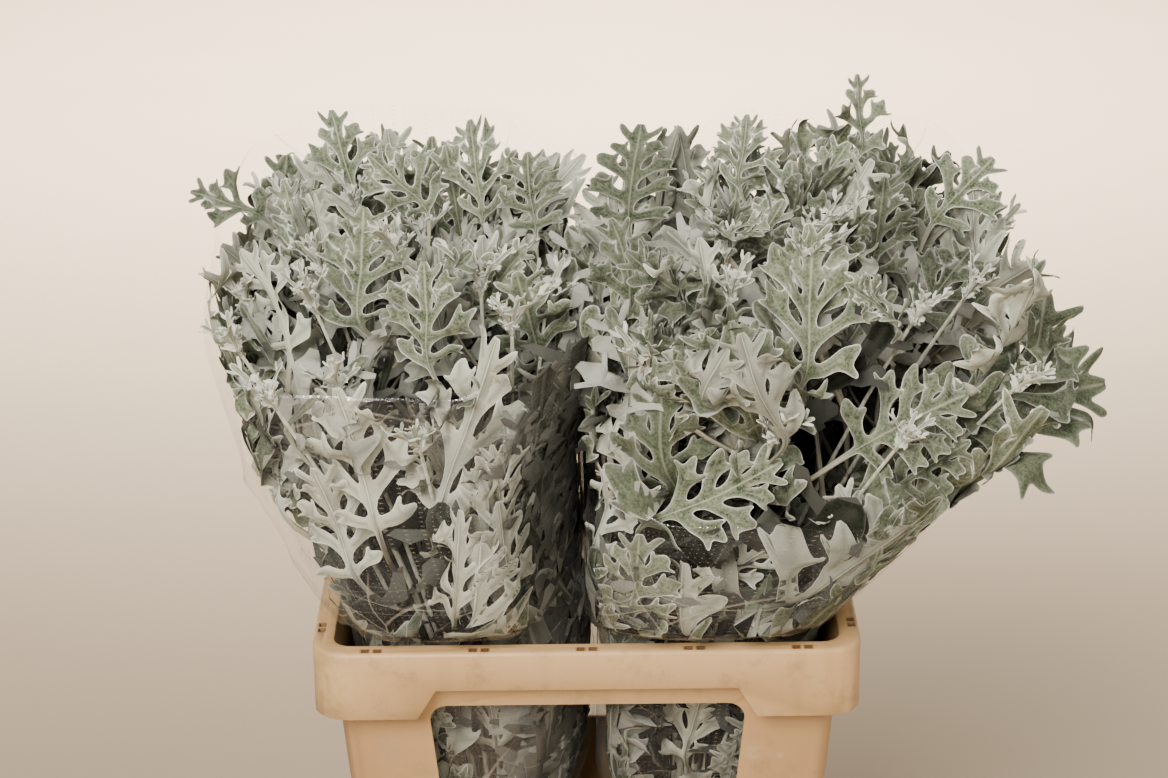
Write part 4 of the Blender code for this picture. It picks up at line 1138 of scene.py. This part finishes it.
for side, seed in (("left", 21), ("right", 22)):
    chance = np.random.default_rng(seed)
    bpy.ops.object.select_all(action="DESELECT")
    bpy.ops.mesh.primitive_grid_add(x_subdivisions=FILM_COLUMNS, y_subdivisions=FILM_ROWS, size=1.0)
    sleeve = bpy.context.object
    sleeve.name = side + "_film"
    flat = np.array([point.co for point in sleeve.data.vertices])
    u, v = flat[:, 0] + 0.5, flat[:, 1] + 0.5
    angle = 2 * math.pi * (u + 0.25)
    sine, cosine = np.sin(angle), np.cos(angle)
    mouth = mouth_at(side, sine) + 0.004 * np.sin(5 * angle) + 0.003 * np.sin(11 * angle + 1)
    height = SLEEVE_FOOT_Z + (mouth - SLEEVE_FOOT_Z) * v
    middle_x, middle_y, half_x, half_y = section_at(side, height)
    crest = 1.0 - crease_map(u, v, draw_creases(side, chance))
    deep = FOLD_DEEP * (1.0 - crest)
    x = middle_x + (half_x - deep) * np.sign(cosine) * np.abs(cosine) ** (2 / SQUARENESS)
    y = middle_y + (half_y - deep) * np.sign(sine) * np.abs(sine) ** (2 / SQUARENESS)
    sleeve.data.vertices.foreach_set("co", nestle(np.column_stack([x, y, height])).ravel())
    sleeve.data.attributes.new("crest", "FLOAT", "POINT").data.foreach_set("value", crest)
    unrolled = np.column_stack([SLEEVE_GIRTH * u, height, np.zeros_like(u)])
    sleeve.data.attributes.new("unrolled", "FLOAT_VECTOR", "CORNER").data.foreach_set(
        "vector", unrolled[[corner.vertex_index for corner in sleeve.data.loops]].ravel()
    )
    merge_doubles(0.00005)
    bpy.ops.object.shade_smooth_by_angle(angle=math.radians(40))
    wall = sleeve.modifiers.new("film", "SOLIDIFY")
    wall.thickness = FILM_WALL
    wall.offset = -1.0
    wall.material_offset = wall.material_offset_rim = 1
    sleeve.data.materials.clear()
    sleeve.data.materials.append(film)
    sleeve.data.materials.append(misted)
    bpy.ops.object.modifier_apply(modifier="film")
    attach(sleeve, "root")
    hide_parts(side + "_sleeve")


# Elastic bands.
# Tan rubber, one round each bunch's stems, dulled by bloom. They keep their CAD shape.
rubber, shader = new_material("natural rubber")
place = add(rubber, "TexCoord", {})
bloom = add(rubber, "TexNoise", {"Vector": place.outputs["Object"], "Scale": 240.0, "Detail": 3.0})
tone = add(rubber, "Mix", {0: bloom.outputs["Fac"], 6: srgb("#a9803f"), 7: srgb("#c9a566")}, data_type="RGBA")
add(rubber, shader, {"Base Color": tone.outputs[2], "Roughness": 0.65})
for side in ("left", "right"):
    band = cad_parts[side + "_band"]
    band.data.materials.clear()
    band.data.materials.append(rubber)
